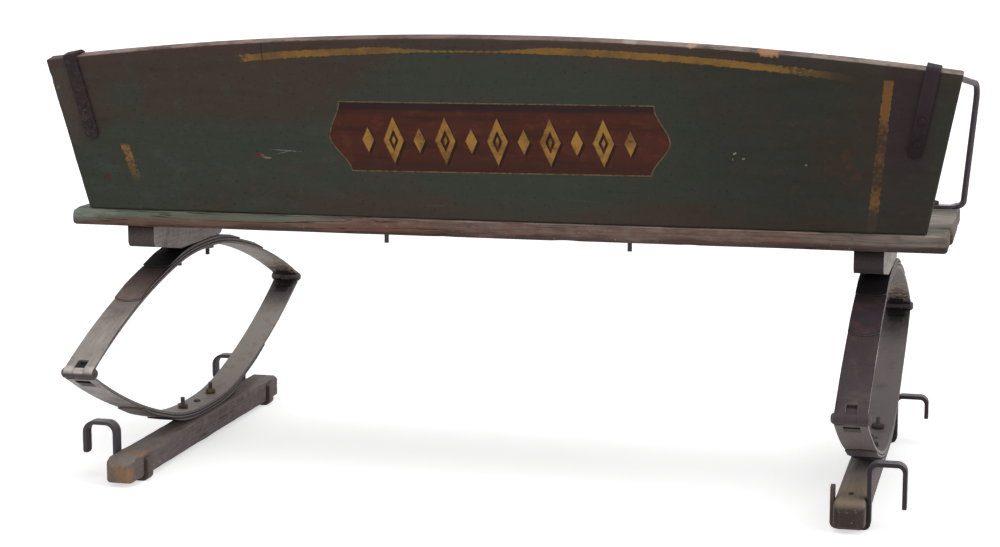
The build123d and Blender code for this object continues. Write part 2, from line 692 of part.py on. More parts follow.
# Lower clamp bolts: heads under the bars, nuts on the lower main leaves
lower_nut_z = lower_main_z + leaf_thickness / 2 + nut_drop + fastener_gap
lower_bolt_end = lower_nut_z + nut_thickness + bolt_tail
lower_bolt = hole(0, 0, bar_underside - fastener_gap, lower_bolt_end, bolt_diameter) + Pos(
    0, 0, bar_underside - fastener_gap) * Rot(180, 0, 0) * round_head(bolt_head_diameter, bolt_head_height)
nodes.append(as_node("lower_clamp_bolts", *[Pos(x, y, 0) * lower_bolt for x, y in clamp_places]))
nut = square_nut(bolt_diameter + 2 * fastener_gap)
nodes.append(as_node("lower_clamp_nuts", *[Pos(x, y, lower_nut_z) * nut for x, y in clamp_places]))

# Upper clamp bolts: heads on the seat, nuts under the upper main leaves
upper_nut_z = upper_main_z - leaf_thickness / 2 - nut_drop - fastener_gap
upper_bolt_end = upper_nut_z - nut_thickness - bolt_tail
upper_bolt = hole(0, 0, upper_bolt_end, seat_top + fastener_gap, bolt_diameter) + Pos(
    0, 0, seat_top + fastener_gap) * round_head(bolt_head_diameter, bolt_head_height)
nodes.append(as_node("upper_clamp_bolts", *[Pos(x, y, 0) * upper_bolt for x, y in clamp_places]))
nodes.append(as_node("upper_clamp_nuts", *[
    Pos(x, y, upper_nut_z) * Rot(180, 0, 0) * nut for x, y in clamp_places]))

# Pack rivets: one through the middle of each pack, its buried head in a recess of the wood
rivet_low = bar_top + leaf_gap - fastener_gap
rivet_high = lower_main_z + leaf_thickness / 2 + fastener_gap
rivet_head = round_head(pack_rivet_head_diameter, pack_rivet_head_height)
pack_rivet = hole(0, 0, rivet_low, rivet_high, pack_rivet_diameter) + Pos(0, 0, rivet_high) * rivet_head
pack_rivet += Pos(0, 0, rivet_low) * Rot(180, 0, 0) * rivet_head
flip = lower_main_z + upper_main_z
nodes.append(as_node("lower_pack_rivets", *[Pos(side * spring_x, 0, 0) * pack_rivet for side in (-1, 1)]))
nodes.append(as_node("upper_pack_rivets", *[
    Pos(side * spring_x, 0, flip) * Rot(180, 0, 0) * pack_rivet for side in (-1, 1)]))

# Seat
for spring in springs:
    nodes.append(as_node(f"{spring.name}_cleat", Pos(spring.side * spring_x, 0, 0) * cleat()))
rear_board = seat_board(seat_length, seat_rear_y, rear_board_depth)
front_board = seat_board(seat_length + 2 * front_board_extra, front_board_rear_y, front_board_depth)
for x in (knee_left_x, knee_right_x):
    rear_board -= board_hole(x, knee_bolt_y)
for x in (-rail_bolt_x, rail_bolt_x):
    front_board -= board_hole(x, rail_foot_y)
nodes.append(as_node("seat_rear_board", rear_board))
nodes.append(as_node("seat_front_board", front_board))
nodes.append(as_node("seat_screws", *[
    Pos(side * spring_x, y, seat_top) * wood_screw(seat_screw_length)
    for side in (-1, 1) for y in seat_screw_rows]))
nodes.append(as_node("backboard", backboard()))

# Arm irons and their fasteners
right_iron = arm_iron()
nodes.append(as_node("right_arm_iron", right_iron))
nodes.append(as_node("left_arm_iron", mirrored(right_iron)))
strap_face = fastener_gap + strap_thickness
nodes.append(as_node("strap_rivets", *[
    on_back(side * strap_x(height), height, -strap_face) * strap_rivet()
    for side in (-1, 1) for height in strap_rivet_heights]))
rail_nut_z = seat_top + fastener_gap + rail_pad_thickness + fastener_gap
rail_bolt = hole(0, 0, seat_underside - fastener_gap, rail_nut_z + nut_thickness + rail_bolt_tail,
                 bolt_diameter)
rail_bolt += Pos(0, 0, seat_underside - fastener_gap) * Rot(180, 0, 0) * round_head(
    bolt_head_diameter, bolt_head_height)
nodes.append(as_node("arm_foot_bolts", *[
    Pos(x, rail_foot_y, 0) * rail_bolt for x in (-rail_bolt_x, rail_bolt_x)]))
nodes.append(as_node("arm_foot_nuts", *[
    Pos(x, rail_foot_y, rail_nut_z) * nut for x in (-rail_bolt_x, rail_bolt_x)]))

# Knees and their fasteners
knee_places = (("left", knee_left_x), ("right", knee_right_x))
for side_name, x in knee_places:
    nodes.append(as_node(f"{side_name}_back_knee", knee(x)))
knee_top = seat_top + 2 * fastener_gap + knee_thickness
knee_nut_z = seat_underside - fastener_gap
knee_bolt_end = knee_nut_z - nut_thickness - knee_bolt_tail
knee_bolt = hole(0, 0, knee_bolt_end, knee_top, bolt_diameter) + Pos(0, 0, knee_top) * round_head(
    knee_bolt_head_diameter, bolt_head_height)
nodes.append(as_node("knee_bolts", *[Pos(x, knee_bolt_y, 0) * knee_bolt for _, x in knee_places]))
nodes.append(as_node("knee_nuts", *[
    Pos(x, knee_bolt_y, knee_nut_z) * Rot(180, 0, 0) * nut for _, x in knee_places]))
nodes.append(as_node("knee_screws", *[
    knee_screw_place(x, height) * wood_screw(screw_length)
    for _, x in knee_places for height in knee_screw_heights]))

os.makedirs("parts", exist_ok=True)
for node in nodes:
    export_step(node, f"parts/{node.label}.step")
print(len(nodes), "nodes, seat top at", round(seat_top, 1))
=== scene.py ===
import bmesh
import bpy
import json
from functools import partial
from math import atan2, pi, radians, sqrt, tan
from mathutils import Matrix, Vector, noise
from mathutils.bvhtree import BVHTree

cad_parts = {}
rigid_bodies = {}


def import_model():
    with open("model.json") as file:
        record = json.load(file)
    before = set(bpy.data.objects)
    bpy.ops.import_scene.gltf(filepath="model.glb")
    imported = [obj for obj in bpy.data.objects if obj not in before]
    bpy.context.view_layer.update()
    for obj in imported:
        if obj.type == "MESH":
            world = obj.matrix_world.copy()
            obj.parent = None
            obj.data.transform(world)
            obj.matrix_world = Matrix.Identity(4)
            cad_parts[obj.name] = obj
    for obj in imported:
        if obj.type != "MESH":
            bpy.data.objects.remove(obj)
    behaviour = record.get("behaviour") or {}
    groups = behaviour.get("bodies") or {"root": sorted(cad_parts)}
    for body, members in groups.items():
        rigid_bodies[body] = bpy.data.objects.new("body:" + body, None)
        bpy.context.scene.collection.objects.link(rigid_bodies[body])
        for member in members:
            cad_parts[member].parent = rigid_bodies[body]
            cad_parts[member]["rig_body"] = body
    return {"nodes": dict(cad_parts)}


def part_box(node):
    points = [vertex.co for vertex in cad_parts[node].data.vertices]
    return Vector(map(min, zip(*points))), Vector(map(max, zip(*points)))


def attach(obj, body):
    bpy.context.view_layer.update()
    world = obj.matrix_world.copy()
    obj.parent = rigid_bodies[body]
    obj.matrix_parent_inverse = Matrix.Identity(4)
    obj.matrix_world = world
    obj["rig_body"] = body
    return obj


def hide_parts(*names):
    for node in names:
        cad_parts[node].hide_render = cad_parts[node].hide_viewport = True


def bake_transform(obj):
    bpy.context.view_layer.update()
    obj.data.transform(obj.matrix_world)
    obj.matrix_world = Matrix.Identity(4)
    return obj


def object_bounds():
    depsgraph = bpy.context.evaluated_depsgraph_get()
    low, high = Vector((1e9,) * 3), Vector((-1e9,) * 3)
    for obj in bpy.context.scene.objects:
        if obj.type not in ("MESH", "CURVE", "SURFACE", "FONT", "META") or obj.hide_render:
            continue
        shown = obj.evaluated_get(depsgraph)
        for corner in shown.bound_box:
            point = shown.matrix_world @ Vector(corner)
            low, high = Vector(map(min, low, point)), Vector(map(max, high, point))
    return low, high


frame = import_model()
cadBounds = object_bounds()
mm = 0.001  # lengths below are millimetres unless a note says otherwise
sides = ("left", "right")


# tools for pieces

def cadBox(node):
    # a CAD node's corners in millimetres
    low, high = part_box(node)
    return low / mm, high / mm


def cadMiddle(node):
    low, high = cadBox(node)
    return (low + high) / 2


def bodyOf(node):
    return frame["nodes"][node]["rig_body"]


def addObject(name, data):
    added = bpy.data.objects.new(name, data)
    bpy.context.scene.collection.objects.link(added)
    return added


def newPiece(name, mesh, material, sharp=35):
    # turns a bmesh in millimetres into a finished object at the origin
    bmesh.ops.scale(mesh, vec=(mm, mm, mm), verts=mesh.verts)
    data = bpy.data.meshes.new(name)
    mesh.to_mesh(data)
    mesh.free()
    data.materials.append(material)
    for face in data.polygons:
        face.use_smooth = True
    data.set_sharp_from_angle(angle=radians(sharp))
    return addObject(name, data)


def standFor(piece, slotName, *nodes):
    # rides where the CAD nodes ride and takes their place
    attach(piece, bodyOf(nodes[0]))
    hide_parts(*nodes)


def copyOfNode(node, mergeAt=0.002, flatWithin=0.4):
    # a CAD node's mesh as a closed bmesh in millimetres, without the edges that turn by less than so many degrees
    mesh = bmesh.new()
    mesh.from_mesh(frame["nodes"][node].data)
    bmesh.ops.scale(mesh, vec=(1 / mm, 1 / mm, 1 / mm), verts=mesh.verts)
    bmesh.ops.remove_doubles(mesh, verts=mesh.verts, dist=mergeAt)
    bmesh.ops.dissolve_limit(mesh, angle_limit=radians(flatWithin), verts=mesh.verts, edges=mesh.edges)
    return mesh


def smoothStep(value, start, end):
    share = min(1, max(0, (value - start) / (end - start)))
    return share * share * (3 - 2 * share)


def roundEdges(mesh, width, segments=2, sharper=50, chosen=lambda place: True):
    # rounds every chosen edge that turns by more than this many degrees, and gives back the new faces
    corners = [edge for edge in mesh.edges
               if len(edge.link_faces) == 2 and edge.calc_face_angle() > radians(sharper)
               and chosen((edge.verts[0].co + edge.verts[1].co) / 2)]
    rounded = bmesh.ops.bevel(mesh, geom=corners, offset=width, segments=segments, affect="EDGES",
                              profile=0.5, material=-1, clamp_overlap=True)["faces"]
    mesh.normal_update()
    return rounded


def cutThrough(mesh, axis, at):
    # one cut square to an axis, through the whole piece
    across = Vector((0, 0, 0))
    across[axis] = 1
    bmesh.ops.bisect_plane(mesh, geom=[*mesh.verts, *mesh.edges, *mesh.faces], dist=0.001,
                           plane_co=across * at, plane_no=across)


def crossCuts(mesh, axis, start, end, step):
    # cuts across the piece, so that it can bend or wear between its corners
    count = round((end - start) / step)
    for k in range(1, count):
        cutThrough(mesh, axis, start + (end - start) * k / count)


def evenGrid(low, high, step, rim, rimSegments=3):
    # a box cut into an even grid with rounded edges
    mesh = bmesh.new()
    bmesh.ops.create_cube(mesh, size=1)
    size = Vector(high) - Vector(low)
    bmesh.ops.scale(mesh, vec=size, verts=mesh.verts)
    bmesh.ops.translate(mesh, vec=Vector(low) + size / 2, verts=mesh.verts)
    for axis in range(3):
        count = max(1, round(size[axis] / step[axis]))
        along = [edge for edge in mesh.edges
                 if abs((edge.verts[1].co - edge.verts[0].co).normalized()[axis]) > 0.9]
        if count > 1:
            bmesh.ops.subdivide_edges(mesh, edges=along, cuts=count - 1, use_grid_fill=True)
    roundEdges(mesh, rim, rimSegments)
    return mesh


def weather(mesh, settings, along):
    # wears a wooden piece: raised grain, wavy edges and a few dents, always inwards
    mesh.normal_update()
    stretch = Vector((1, 1, 1)) / settings["grainWidth"]
    stretch[along] = 1 / settings["grainLength"]
    slow = Vector((1, 1, 1)) / settings["edgeWave"]
    for vertex in mesh.verts:
        place = vertex.co
        grain = noise.noise(Vector(place[i] * stretch[i] for i in range(3)))
        wave = noise.noise(Vector(place[i] * slow[i] for i in range(3)) + Vector((7, 3, 5)))
        onEdge = min(1, 3.4 * (1 - max(abs(value) for value in vertex.normal)))  # 1 on a rounded edge, 0 on a face
        depth = settings["grainDepth"] * (0.5 + 0.5 * grain) + settings["edgeWear"] * onEdge * (0.5 + 0.9 * wave)
        for centre, reach, dent in settings.get("dents", ()):
            away = Vector((place[i] - centre[i]) / reach[i] for i in range(3)).length
            if away < 1:
                depth += dent * (1 - away * away) ** 2
        vertex.co = place - vertex.normal * max(0, depth)


# tools for materials

def hexColour(text):
    # an sRGB hex value as a linear colour
    parts = [int(text[i:i + 2], 16) / 255 for i in (1, 3, 5)]
    linear = [part / 12.92 if part <= 0.04045 else ((part + 0.055) / 1.055) ** 2.4 for part in parts]
    return (*linear, 1.0)


def fillInputs(node, inputs):
    # links a node's inputs to the outputs that are given, and sets the others to plain values
    for name, value in inputs.items() if isinstance(inputs, dict) else enumerate(inputs):
        if isinstance(value, bpy.types.NodeSocket):
            node.id_data.links.new(value, node.inputs[name])
        else:
            node.inputs[name].default_value = value


usualSettings = {"MapRange": {"interpolation_type": "SMOOTHSTEP"}, "Mix": {"data_type": "RGBA"}}


def addNode(tree, kind, inputs=(), out=0, **settings):
    # one node with its settings and links, and the output that is asked for; "Math ADD" names the operation too
    if kind in ("Math ADD", "Math MULTIPLY", "Math MAXIMUM", "Math MINIMUM") and len(inputs) > 2:
        inputs = addNode(tree, kind, inputs[:-1]), inputs[-1]  # more than two values take a chain
    kind, _, operation = kind.partition(" ")
    node = tree.nodes.new("ShaderNode" + kind)
    if operation:
        node.operation = operation
    for name, value in {**usualSettings.get(kind, {}), **settings}.items():
        setattr(node, name, value)
    fillInputs(node, inputs)
    return node.outputs[out]


def addMask(tree, *parts):
    # the product of its parts, in which (value, 20, 60) climbs from 0 where the value is 20 to 1 where it is 60
    parts = [addNode(tree, "MapRange", part) if isinstance(part, tuple) else part for part in parts]
    return addNode(tree, "Math MULTIPLY", parts) if len(parts) > 1 else parts[0]


def addCoats(tree, look, colour, *coats):
    # lays coats over a first colour, each with the parts of a mask that says where it has stayed on
    under = None
    for shade, *parts in ((colour,), *coats):
        if isinstance(shade, str):  # a name in the piece's dictionary, or a hex value
            shade = hexColour(look.get(shade, shade))
        under = addNode(tree, "Mix", {0: addMask(tree, *parts), 6: under, 7: shade}, 2) if parts else shade
    return under


def addBlotches(tree, place, size, detail=4.0, stretch=(1, 1, 1), rough=0.55):
    # cloudy variation whose patches are about this many millimetres across
    spread = addNode(tree, "Mapping", {0: place, "Scale": [s / size for s in stretch]})
    return addNode(tree, "TexNoise", {"Vector": spread, "Scale": 1.0, "Detail": detail, "Roughness": rough})


def newMaterial(name, look):
    # an empty material, the place on the piece in millimetres, and the tools above for its nodes
    material = bpy.data.materials.new(name)
    material.use_nodes = True
    tree = material.node_tree
    place = addNode(tree, "TexCoord", out="Object")
    place = addNode(tree, "VectorMath SCALE", {0: place, "Scale": 1 / mm})
    tools = partial(addNode, tree), partial(addMask, tree), partial(addBlotches, tree), partial(addCoats, tree, look)
    return material, place, *tools


def distance(node, value, centre):
    # how far a value is from another, either way
    return node("Math ABSOLUTE", (node("Math SUBTRACT", (value, centre)),))


def fromSpot(node, place, centre, halves, tilt=0):
    # how far a place is from a spot: 1 on the rim of the spot, whose half sizes are given
    turned = node("Mapping", {0: place, "Location": centre, "Rotation": (0, 0, radians(tilt)), "Scale": halves},
                  vector_type="TEXTURE")
    return node("VectorMath LENGTH", (turned,), "Value")


def edgeTurn(node, radius):
    # how sharply the surface turns within a radius in millimetres
    soft = node("Bevel", {"Radius": radius * mm}, samples=6)
    match = node("VectorMath DOT_PRODUCT", (soft, node("NewGeometry", out="Normal")), "Value")
    return node("MapRange", (match, 0.985, 0.86))  # from a turn of 10 degrees to one of 30


def finished(material, colour, rough, height, depth, gloss, metallic=0.0):
    # rough is a pattern and the roughness at its low and high ends, and the bump is so many millimetres deep
    pattern, smoothest, roughest = rough
    node = partial(addNode, material.node_tree)
    fillInputs(material.node_tree.nodes["Principled BSDF"], {
        "Base Color": colour, "Roughness": node("MapRange", (pattern, 0.3, 0.7, smoothest, roughest)),
        "Normal": node("Bump", {"Strength": 1.0, "Distance": depth * mm, "Height": height}),
        "Specular IOR Level": gloss, "Metallic": metallic})
    return material


# camera, light and floor

camera = {"place": (0.6678, -2.8619, 0.7168), "yaw": 13.75, "pitch": 9.09, "lens": 80.84}


def makeCamera():
    data = bpy.data.cameras.new("viewer")
    data.lens = camera["lens"]
    data.sensor_width = 36
    eye = addObject("viewer", data)
    eye.location = camera["place"]
    eye.rotation_euler = (radians(90 - camera["pitch"]), 0, radians(camera["yaw"]))
    bpy.context.scene.camera = eye


studio = {
    "skyLevel": 0.40,
    "lamps": {  # place and target in metres, width in metres, watts
        "overhead": ((0.5, -0.5, 3.4), (0, 0, 0.2), 3.0, 58),
        "rightSide": ((3.6, -1.2, 1.6), (0, 0, 0.3), 2.2, 42),
        "front": ((-1.4, -4.2, 1.8), (0, 0, 0.3), 2.6, 34),
    },
    "floorSize": 40,              # metres
    "paper": "#e6e6e6",           # takes the bench's shadow
    "paperGlow": (0.585, 1.0),    # the share that is simply white, near the bench and far from it
    "glowFrom": (1200, 4200),     # distances from the middle between which it changes
}


def seenByEye(node):
    # 1 for what the camera, a reflection or a pane looks at, 0 for light on the object
    rays = node("LightPath").node.outputs
    return node("Math MAXIMUM", [rays[f"Is {kind} Ray"] for kind in ("Camera", "Glossy", "Transmission")])


def makeStudio():
    world = bpy.data.worlds.new("studio")
    bpy.context.scene.world = world
    world.use_nodes = True
    node = partial(addNode, world.node_tree)
    level = node("MapRange", {0: seenByEye(node), 3: studio["skyLevel"], 4: 1.0})
    fillInputs(world.node_tree.nodes["Background"], {"Color": (1, 1, 1, 1), "Strength": level})
    for name, (place, target, width, watts) in studio["lamps"].items():
        data = bpy.data.lights.new(name, "AREA")
        data.size = width
        data.energy = watts
        lamp = addObject(name, data)
        lamp.location = place
        lamp.rotation_euler = (Vector(target) - Vector(place)).to_track_quat("-Z", "Y").to_euler()
    paper, place, node, mask, *_ = newMaterial("studio paper", studio)
    away = node("VectorMath LENGTH", (place,), "Value")
    glow = mask(seenByEye(node), (away, *studio["glowFrom"], *studio["paperGlow"]))
    fillInputs(paper.node_tree.nodes["Principled BSDF"], {
        "Base Color": hexColour(studio["paper"]), "Emission Color": (1, 1, 1, 1), "Emission Strength": glow,
        "Roughness": 1.0, "Specular IOR Level": 0.0})
    mesh = bmesh.new()
    bmesh.ops.create_grid(mesh, x_segments=1, y_segments=1, size=studio["floorSize"] / 2 / mm)
    bmesh.ops.translate(mesh, vec=(0, 0, cadBounds[0][2] / mm), verts=mesh.verts)
    newPiece("floor", mesh, paper)
    bpy.context.scene.view_settings.view_transform = "Standard"


# materials

# the back stands on its own sloping plane: x along the bench, y up the slope, z outwards
backFrame = {"lean": 10.84, "thickness": 22.0, "bottomHalf": 533.0, "cornerHalf": 571.5,
             "cornerHeight": 196.5, "peakHeight": 232.0, "foot": (0, -188.0, 341.4)}
archRise = backFrame["peakHeight"] - backFrame["cornerHeight"]
archRadius = (backFrame["cornerHalf"] ** 2 + archRise ** 2) / (2 * archRise)


def archHeight(x):
    return backFrame["peakHeight"] - archRadius + sqrt(archRadius ** 2 - x * x)


wagonPaint = {
    "green": "#373a32", "greenDark": "#2b2b25", "greenLight": "#3f473f",
    "brown": "#3f342e", "purple": "#2e2326", "umber": "#322a23", "endBrown": "#493f39",
    "underEdge": "#463530", "crack": "#201d1a", "speckle": "#1d1b18", "arris": "#5a4a42",
    "topEdge": "#8f7971", "topEdgeMid": "#745f58", "topEdgePale": "#8a7b72", "topEdgeDark": "#54423f",
    "ochre": "#8a6430", "ochreDull": "#6c5330", "ochreSide": "#75502a",
    "panel": "#45231a", "panelDark": "#2a1c1a", "panelLight": "#562e20", "lineDull": "#7a6a4c",
    "lozenge": "#a2783a", "lozengeDull": "#7c582c", "shadow": "#20130d",
    "stripeWidth": 8.5, "waist": -22.0, "sideStripeWidth": 11.0, "leftStripeWidth": 11.0,
    "stripeSink": (40.0, 14.0, 441.0, 8.0),  # its highest place, its depth there, and how far on it sinks how much
    "lineWidth": 1.5, "lozengeStart": 15.0, "lozengePitch": 33.0, "lozengesEachWay": 5.5,
    "lozengeSize": (13.0, 30.0), "smallLozenge": (7.5, 16.0), "shadowSlide": (2.8, -3.0),
    "wornSpot": ((446, 116, 0), (62, 66, 900)),  # its middle and half sizes
    # lines on the back, as their slope and start
    "sideStripe": (0.1004, 467.6), "leftStripe": (-0.280, -451.0),
    "panelTop": (0.006, 151.4), "panelFoot": (0.009, 61.6), "lozengeRow": (0.008, 102.5),
    # the panel's bracketed sides: from and to up the board, and the place across that is reached or added
    "panelLeft": ((60, 105, -174, -200), (105, 150, 0, 14)),
    "panelRight": ((64, 106, 206, 229), (106, 149, 0, -18.5)),
    # chips, scratches and specks: place across and up, half length, half height, tilt, colour, strength
    "marks": (
        (254.7, 226.0, 6, 3.5, -5, "#a98a6e", 0.9), (346, 219.0, 14, 5.5, -5, "#9c7250", 0.9),
        (485, 209.5, 13, 2.6, -8, "#a9714c", 0.8), (181, 229.0, 9, 2.2, -3, "#a3988e", 0.7),
        (38.8, 237.0, 26, 4.0, 0, "#b98163", 0.8), (-294.8, 77.6, 7, 3.8, -14, "#5c2a20", 0.6),
        (-284.5, 74.6, 6.5, 1.3, -4, "#8a7468", 0.75), (-290.0, 78.0, 3.0, 1.0, 20, "#7c665a", 0.5),
        (-259, 84.6, 19, 0.7, -3, "#77807a", 0.65),
        (-262, 82.0, 8, 0.6, 14, "#77807a", 0.5), (-280.3, 211, 1.1, 13, 1, "#23201c", 0.75),
        (-568.0, 172.3, 2.0, 1.7, 0, "#a08a6a", 0.8), (-558, 160.9, 3.5, 1.8, 40, "#72663c", 0.6),
        (-501.8, 43.2, 4.5, 6, 0, "#4e2a24", 0.7), (305.6, 95.1, 2.6, 1.0, 24, "#9c9c8e", 0.8),
        (303.4, 88.0, 1.0, 2.4, 0, "#8a8a7c", 0.7), (316.5, 88.9, 2.0, 1.1, 20, "#8a8a7c", 0.7),
        (390.9, 83.1, 1.6, 1.2, 0, "#7c7c68", 0.6), (436.9, 96.0, 9.0, 5.0, 60, "#4a3020", 0.4),
        (441.5, 84.0, 6.0, 4.2, 70, "#4e3222", 0.4), (450.0, 70.0, 9.0, 4.6, 20, "#463024", 0.4),
        (-66.2, 18.0, 22, 1.0, 2, "#4a463c", 0.5), (120.0, 30.0, 30, 0.8, -3, "#474339", 0.5),
    ),
}


def makeWagonPaint():
    # old oil paint on pine: nearly black green, gone brown where hands and weather wore it
    look = wagonPaint
    material, place, node, mask, blotches, coated = newMaterial("worn wagon paint", look)
    board = node("Mapping", {0: place, "Location": backFrame["foot"],
                             "Rotation": (radians(90 + backFrame["lean"]), 0, 0)}, vector_type="TEXTURE")
    x, up, out = node("SeparateXYZ", (board,)).node.outputs
    front = mask((out, -3.2, -2.2))

    # depth below the arched top edge
    fromCentre = node("CombineXYZ", (x, node("Math SUBTRACT", (up, backFrame["peakHeight"] - archRadius))))
    below = node("Math SUBTRACT", (archRadius, node("VectorMath LENGTH", (fromCentre,), "Value")))

    cloud = blotches(board, 120, 6.0, (0.8, 1.3, 1))
    patch = blotches(board, 34, 5.0, (0.7, 1, 1), 0.62)
    streak = blotches(board, 14, 4.0, (0.12, 1, 1))
    fine = blotches(board, 3.0, 3.0, (0.4, 1, 1))
    fleck = blotches(board, 5.0, 3.0)
    mottle = blotches(board, 17, 5.0, (0.8, 1, 1), 0.65)
    shake = node("Math SUBTRACT", (fleck, 0.5))
    rub = node("Math ADD", (fleck, node("Math MULTIPLY", (patch, 0.7))))

    # green that darkens to the right, under brown wear along the edges
    worn = node("Math ADD", (
        node("Math MULTIPLY", (cloud, 0.65)), node("Math MULTIPLY", (patch, 0.35)),
        mask((up, 120, 60), (x, -380, -470), -0.16),                         # less of it at the lower left
        mask((up, 95, 150), (x, -90, -230), (x, -460, -390, 0.3, 1), 0.22),  # upper left
        mask((x, -480, -525), (up, 40, 110, 0.3, 1), 0.2),                   # left end
        mask((up, 44, 12), (x, -330, -220), 0.17),                           # foot
        mask((below, 60, 14), 0.1),                                          # top
        mask((fromSpot(node, board, *look["wornSpot"]), 1.25, 0.55), 0.17)))
    brown = coated("brown", ("umber", (x, 100, 420)), ("endBrown", (x, -520, -545)))
    colour = coated(
        "green", ("greenLight", (patch, 0.5, 0.68), (x, 120, -420, 0.15, 0.6)), ("greenDark", (x, 60, 400, 0, 0.85)),
        (brown, (worn, 0.50, 0.70, 0, 0.9)),
        ("purple", (x, 474, 494), (x, 546, 520), (up, 40, 110, 0.25, 0.9)),
        ("underEdge", (below, 15, 10, 0, 0.8), (x, 200, 420, 1, 0.35), (patch, 0.66, 0.4, 0.3, 1)),
        ("crack", (streak, 0.62, 0.8, 0, 0.35)), ("brown", (mottle, 0.54, 0.70, 0, 0.42)),
        ("greenLight", (mottle, 0.48, 0.32, 0, 0.3), (x, 100, -200, 0.25, 1)),
        ("speckle", (fleck, 0.56, 0.74, 0, 0.45)))

    # the border stripe under the top edge, rubbed away in places and drawn in at the waist
    wander = node("Math MULTIPLY", (shake, 5.0))
    whole = node("Math SUBTRACT", (0.62, rub))
    peak, depth, reach, sink = look["stripeSink"]
    share = node("Math DIVIDE", (node("Math SUBTRACT", (x, peak)), reach))
    fromWaist = distance(node, x, look["waist"])
    depth = node("Math ADD", (depth, node("Math MULTIPLY", (share, share, sink)), mask((fromWaist, 30, 110, 2.6, 0))))
    away = node("Math ADD", (distance(node, below, depth), wander, mask((fromWaist, 30, 120, 3.3, 0))))
    kept = node("Math ADD", (mask((x, -338, -276), (x, 480, 300)), whole))
    kept = node("Math MAXIMUM", (mask((kept, 0.24, 0.50)), mask((x, -330, -250), (x, 455, 400, 0, 0.34))))
    half = look["stripeWidth"] / 2
    stripe = mask((away, half + 0.6, half - 0.6), kept)

    # the stripes down both ends
    away = node("Math ADD", (distance(node, x, node("Math MULTIPLY_ADD", (up, *look["sideStripe"]))), wander))
    kept = node("Math ADD", (mask((up, 4, 46), (distance(node, up, 92), 20, 60, 0.55, 1)), whole))
    half = look["sideStripeWidth"] / 2
    side = mask((away, half + 0.5, half - 0.5), (kept, 0.22, 0.80, 0.1, 1), (up, 189, 187))
    away = node("Math ADD", (distance(node, x, node("Math MULTIPLY_ADD", (up, *look["leftStripe"]))), wander))
    half = look["leftStripeWidth"] / 2
    left = mask((away, half + 0.9, half - 0.9), (up, 34, 66), (up, 90, 84), (rub, 1.05, 0.72))
    paintLines = node("Math MAXIMUM", (stripe, side, left))
    dull = node("Math MAXIMUM", (mask((patch, 0.42, 0.62)), mask((fromWaist, 150, 60, 0, 0.3))))
    ochre = coated("ochre", ("ochreDull", dull), ("ochreSide", (x, 430, 450)))
    colour = coated(colour, (ochre, paintLines, front, 0.9))

    # the bracketed panel
    leftSide, rightSide = (node("Math ADD", [mask((up, *bend)) for bend in look[side]])
                           for side in ("panelLeft", "panelRight"))
    fromTop = node("Math SUBTRACT", (node("Math MULTIPLY_ADD", (x, *look["panelTop"])), up))
    fromFoot = node("Math SUBTRACT", (up, node("Math MULTIPLY_ADD", (x, *look["panelFoot"]))))
    waver = node("Math MULTIPLY", (shake, 0.9))
    inside = node("Math MINIMUM", (fromTop, fromFoot, node("Math SUBTRACT", (x, leftSide)),
                                   node("Math SUBTRACT", (rightSide, x))))
    inside = node("Math ADD", (inside, waver))
    dark = node("Math MAXIMUM", (mask((node("Math MULTIPLY_ADD", (patch, 6.0, fromTop)), 17, 11)),
                                 mask((streak, 0.46, 0.76, 0, 0.75)), mask((fromFoot, 26, 4, 0, 0.5))))
    panel = coated("panel", ("panelLight", (mottle, 0.5, 0.66, 0, 0.7)), ("panelDark", dark))

    # plain lozenges, large and small by turns, each with a painted shadow
    level = node("Math SUBTRACT", (up, node("Math MULTIPLY_ADD", (x, *look["lozengeRow"]))))
    pitch, last = look["lozengePitch"], look["lozengesEachWay"]
    lozenges = []
    for slideX, slideY in (look["shadowSlide"], (0, 0)):
        cell = node("Math DIVIDE", (node("Math SUBTRACT", (x, look["lozengeStart"] + slideX)), pitch))
        index = node("Math ROUND", (cell,))
        across = node("Math MULTIPLY", (distance(node, cell, index), pitch))
        height = distance(node, level, slideY)
        odd = node("Math ABSOLUTE", (node("Math MODULO", (index, 2)),))
        even = node("Math SUBTRACT", (1, odd))
        large, small = (node("Math ADD", (node("Math DIVIDE", (across, wide)), node("Math DIVIDE", (height, tall))))
                        for wide, tall in (look["lozengeSize"], look["smallLozenge"]))
        size = node("Mix", {0: odd, 2: large, 3: small}, data_type="FLOAT")
        size = node("Math MULTIPLY_ADD", (waver, 0.12, size))
        heart = node("Math SUBTRACT", (mask((size, 0.50, 0.45), even), mask((size, 0.22, 0.17), even)))
        shape = node("Math SUBTRACT", (mask((size, 1.03, 0.96)), heart))
        lozenges.append(mask(shape, (node("Math ABSOLUTE", (index,)), last + 0.1, last - 0.1)))
    gilt = coated("lozenge", ("lozengeDull", (patch, 0.42, 0.62)))
    giltKept = mask((node("Math MULTIPLY_ADD", (fine, 0.4, rub)), 1.34, 1.12, 0.35, 0.95))
    panel = coated(panel, ("shadow", lozenges[0], 0.9), (gilt, lozenges[1], giltKept))
    half = look["lineWidth"] / 2
    colour = coated(colour, (panel, (inside, -0.3, 0.3), front),
                    ("lineDull", (distance(node, inside, half), half + 0.3, half - 0.3), front,
                     (rub, 1.05, 0.75, 0.2, 0.7)))

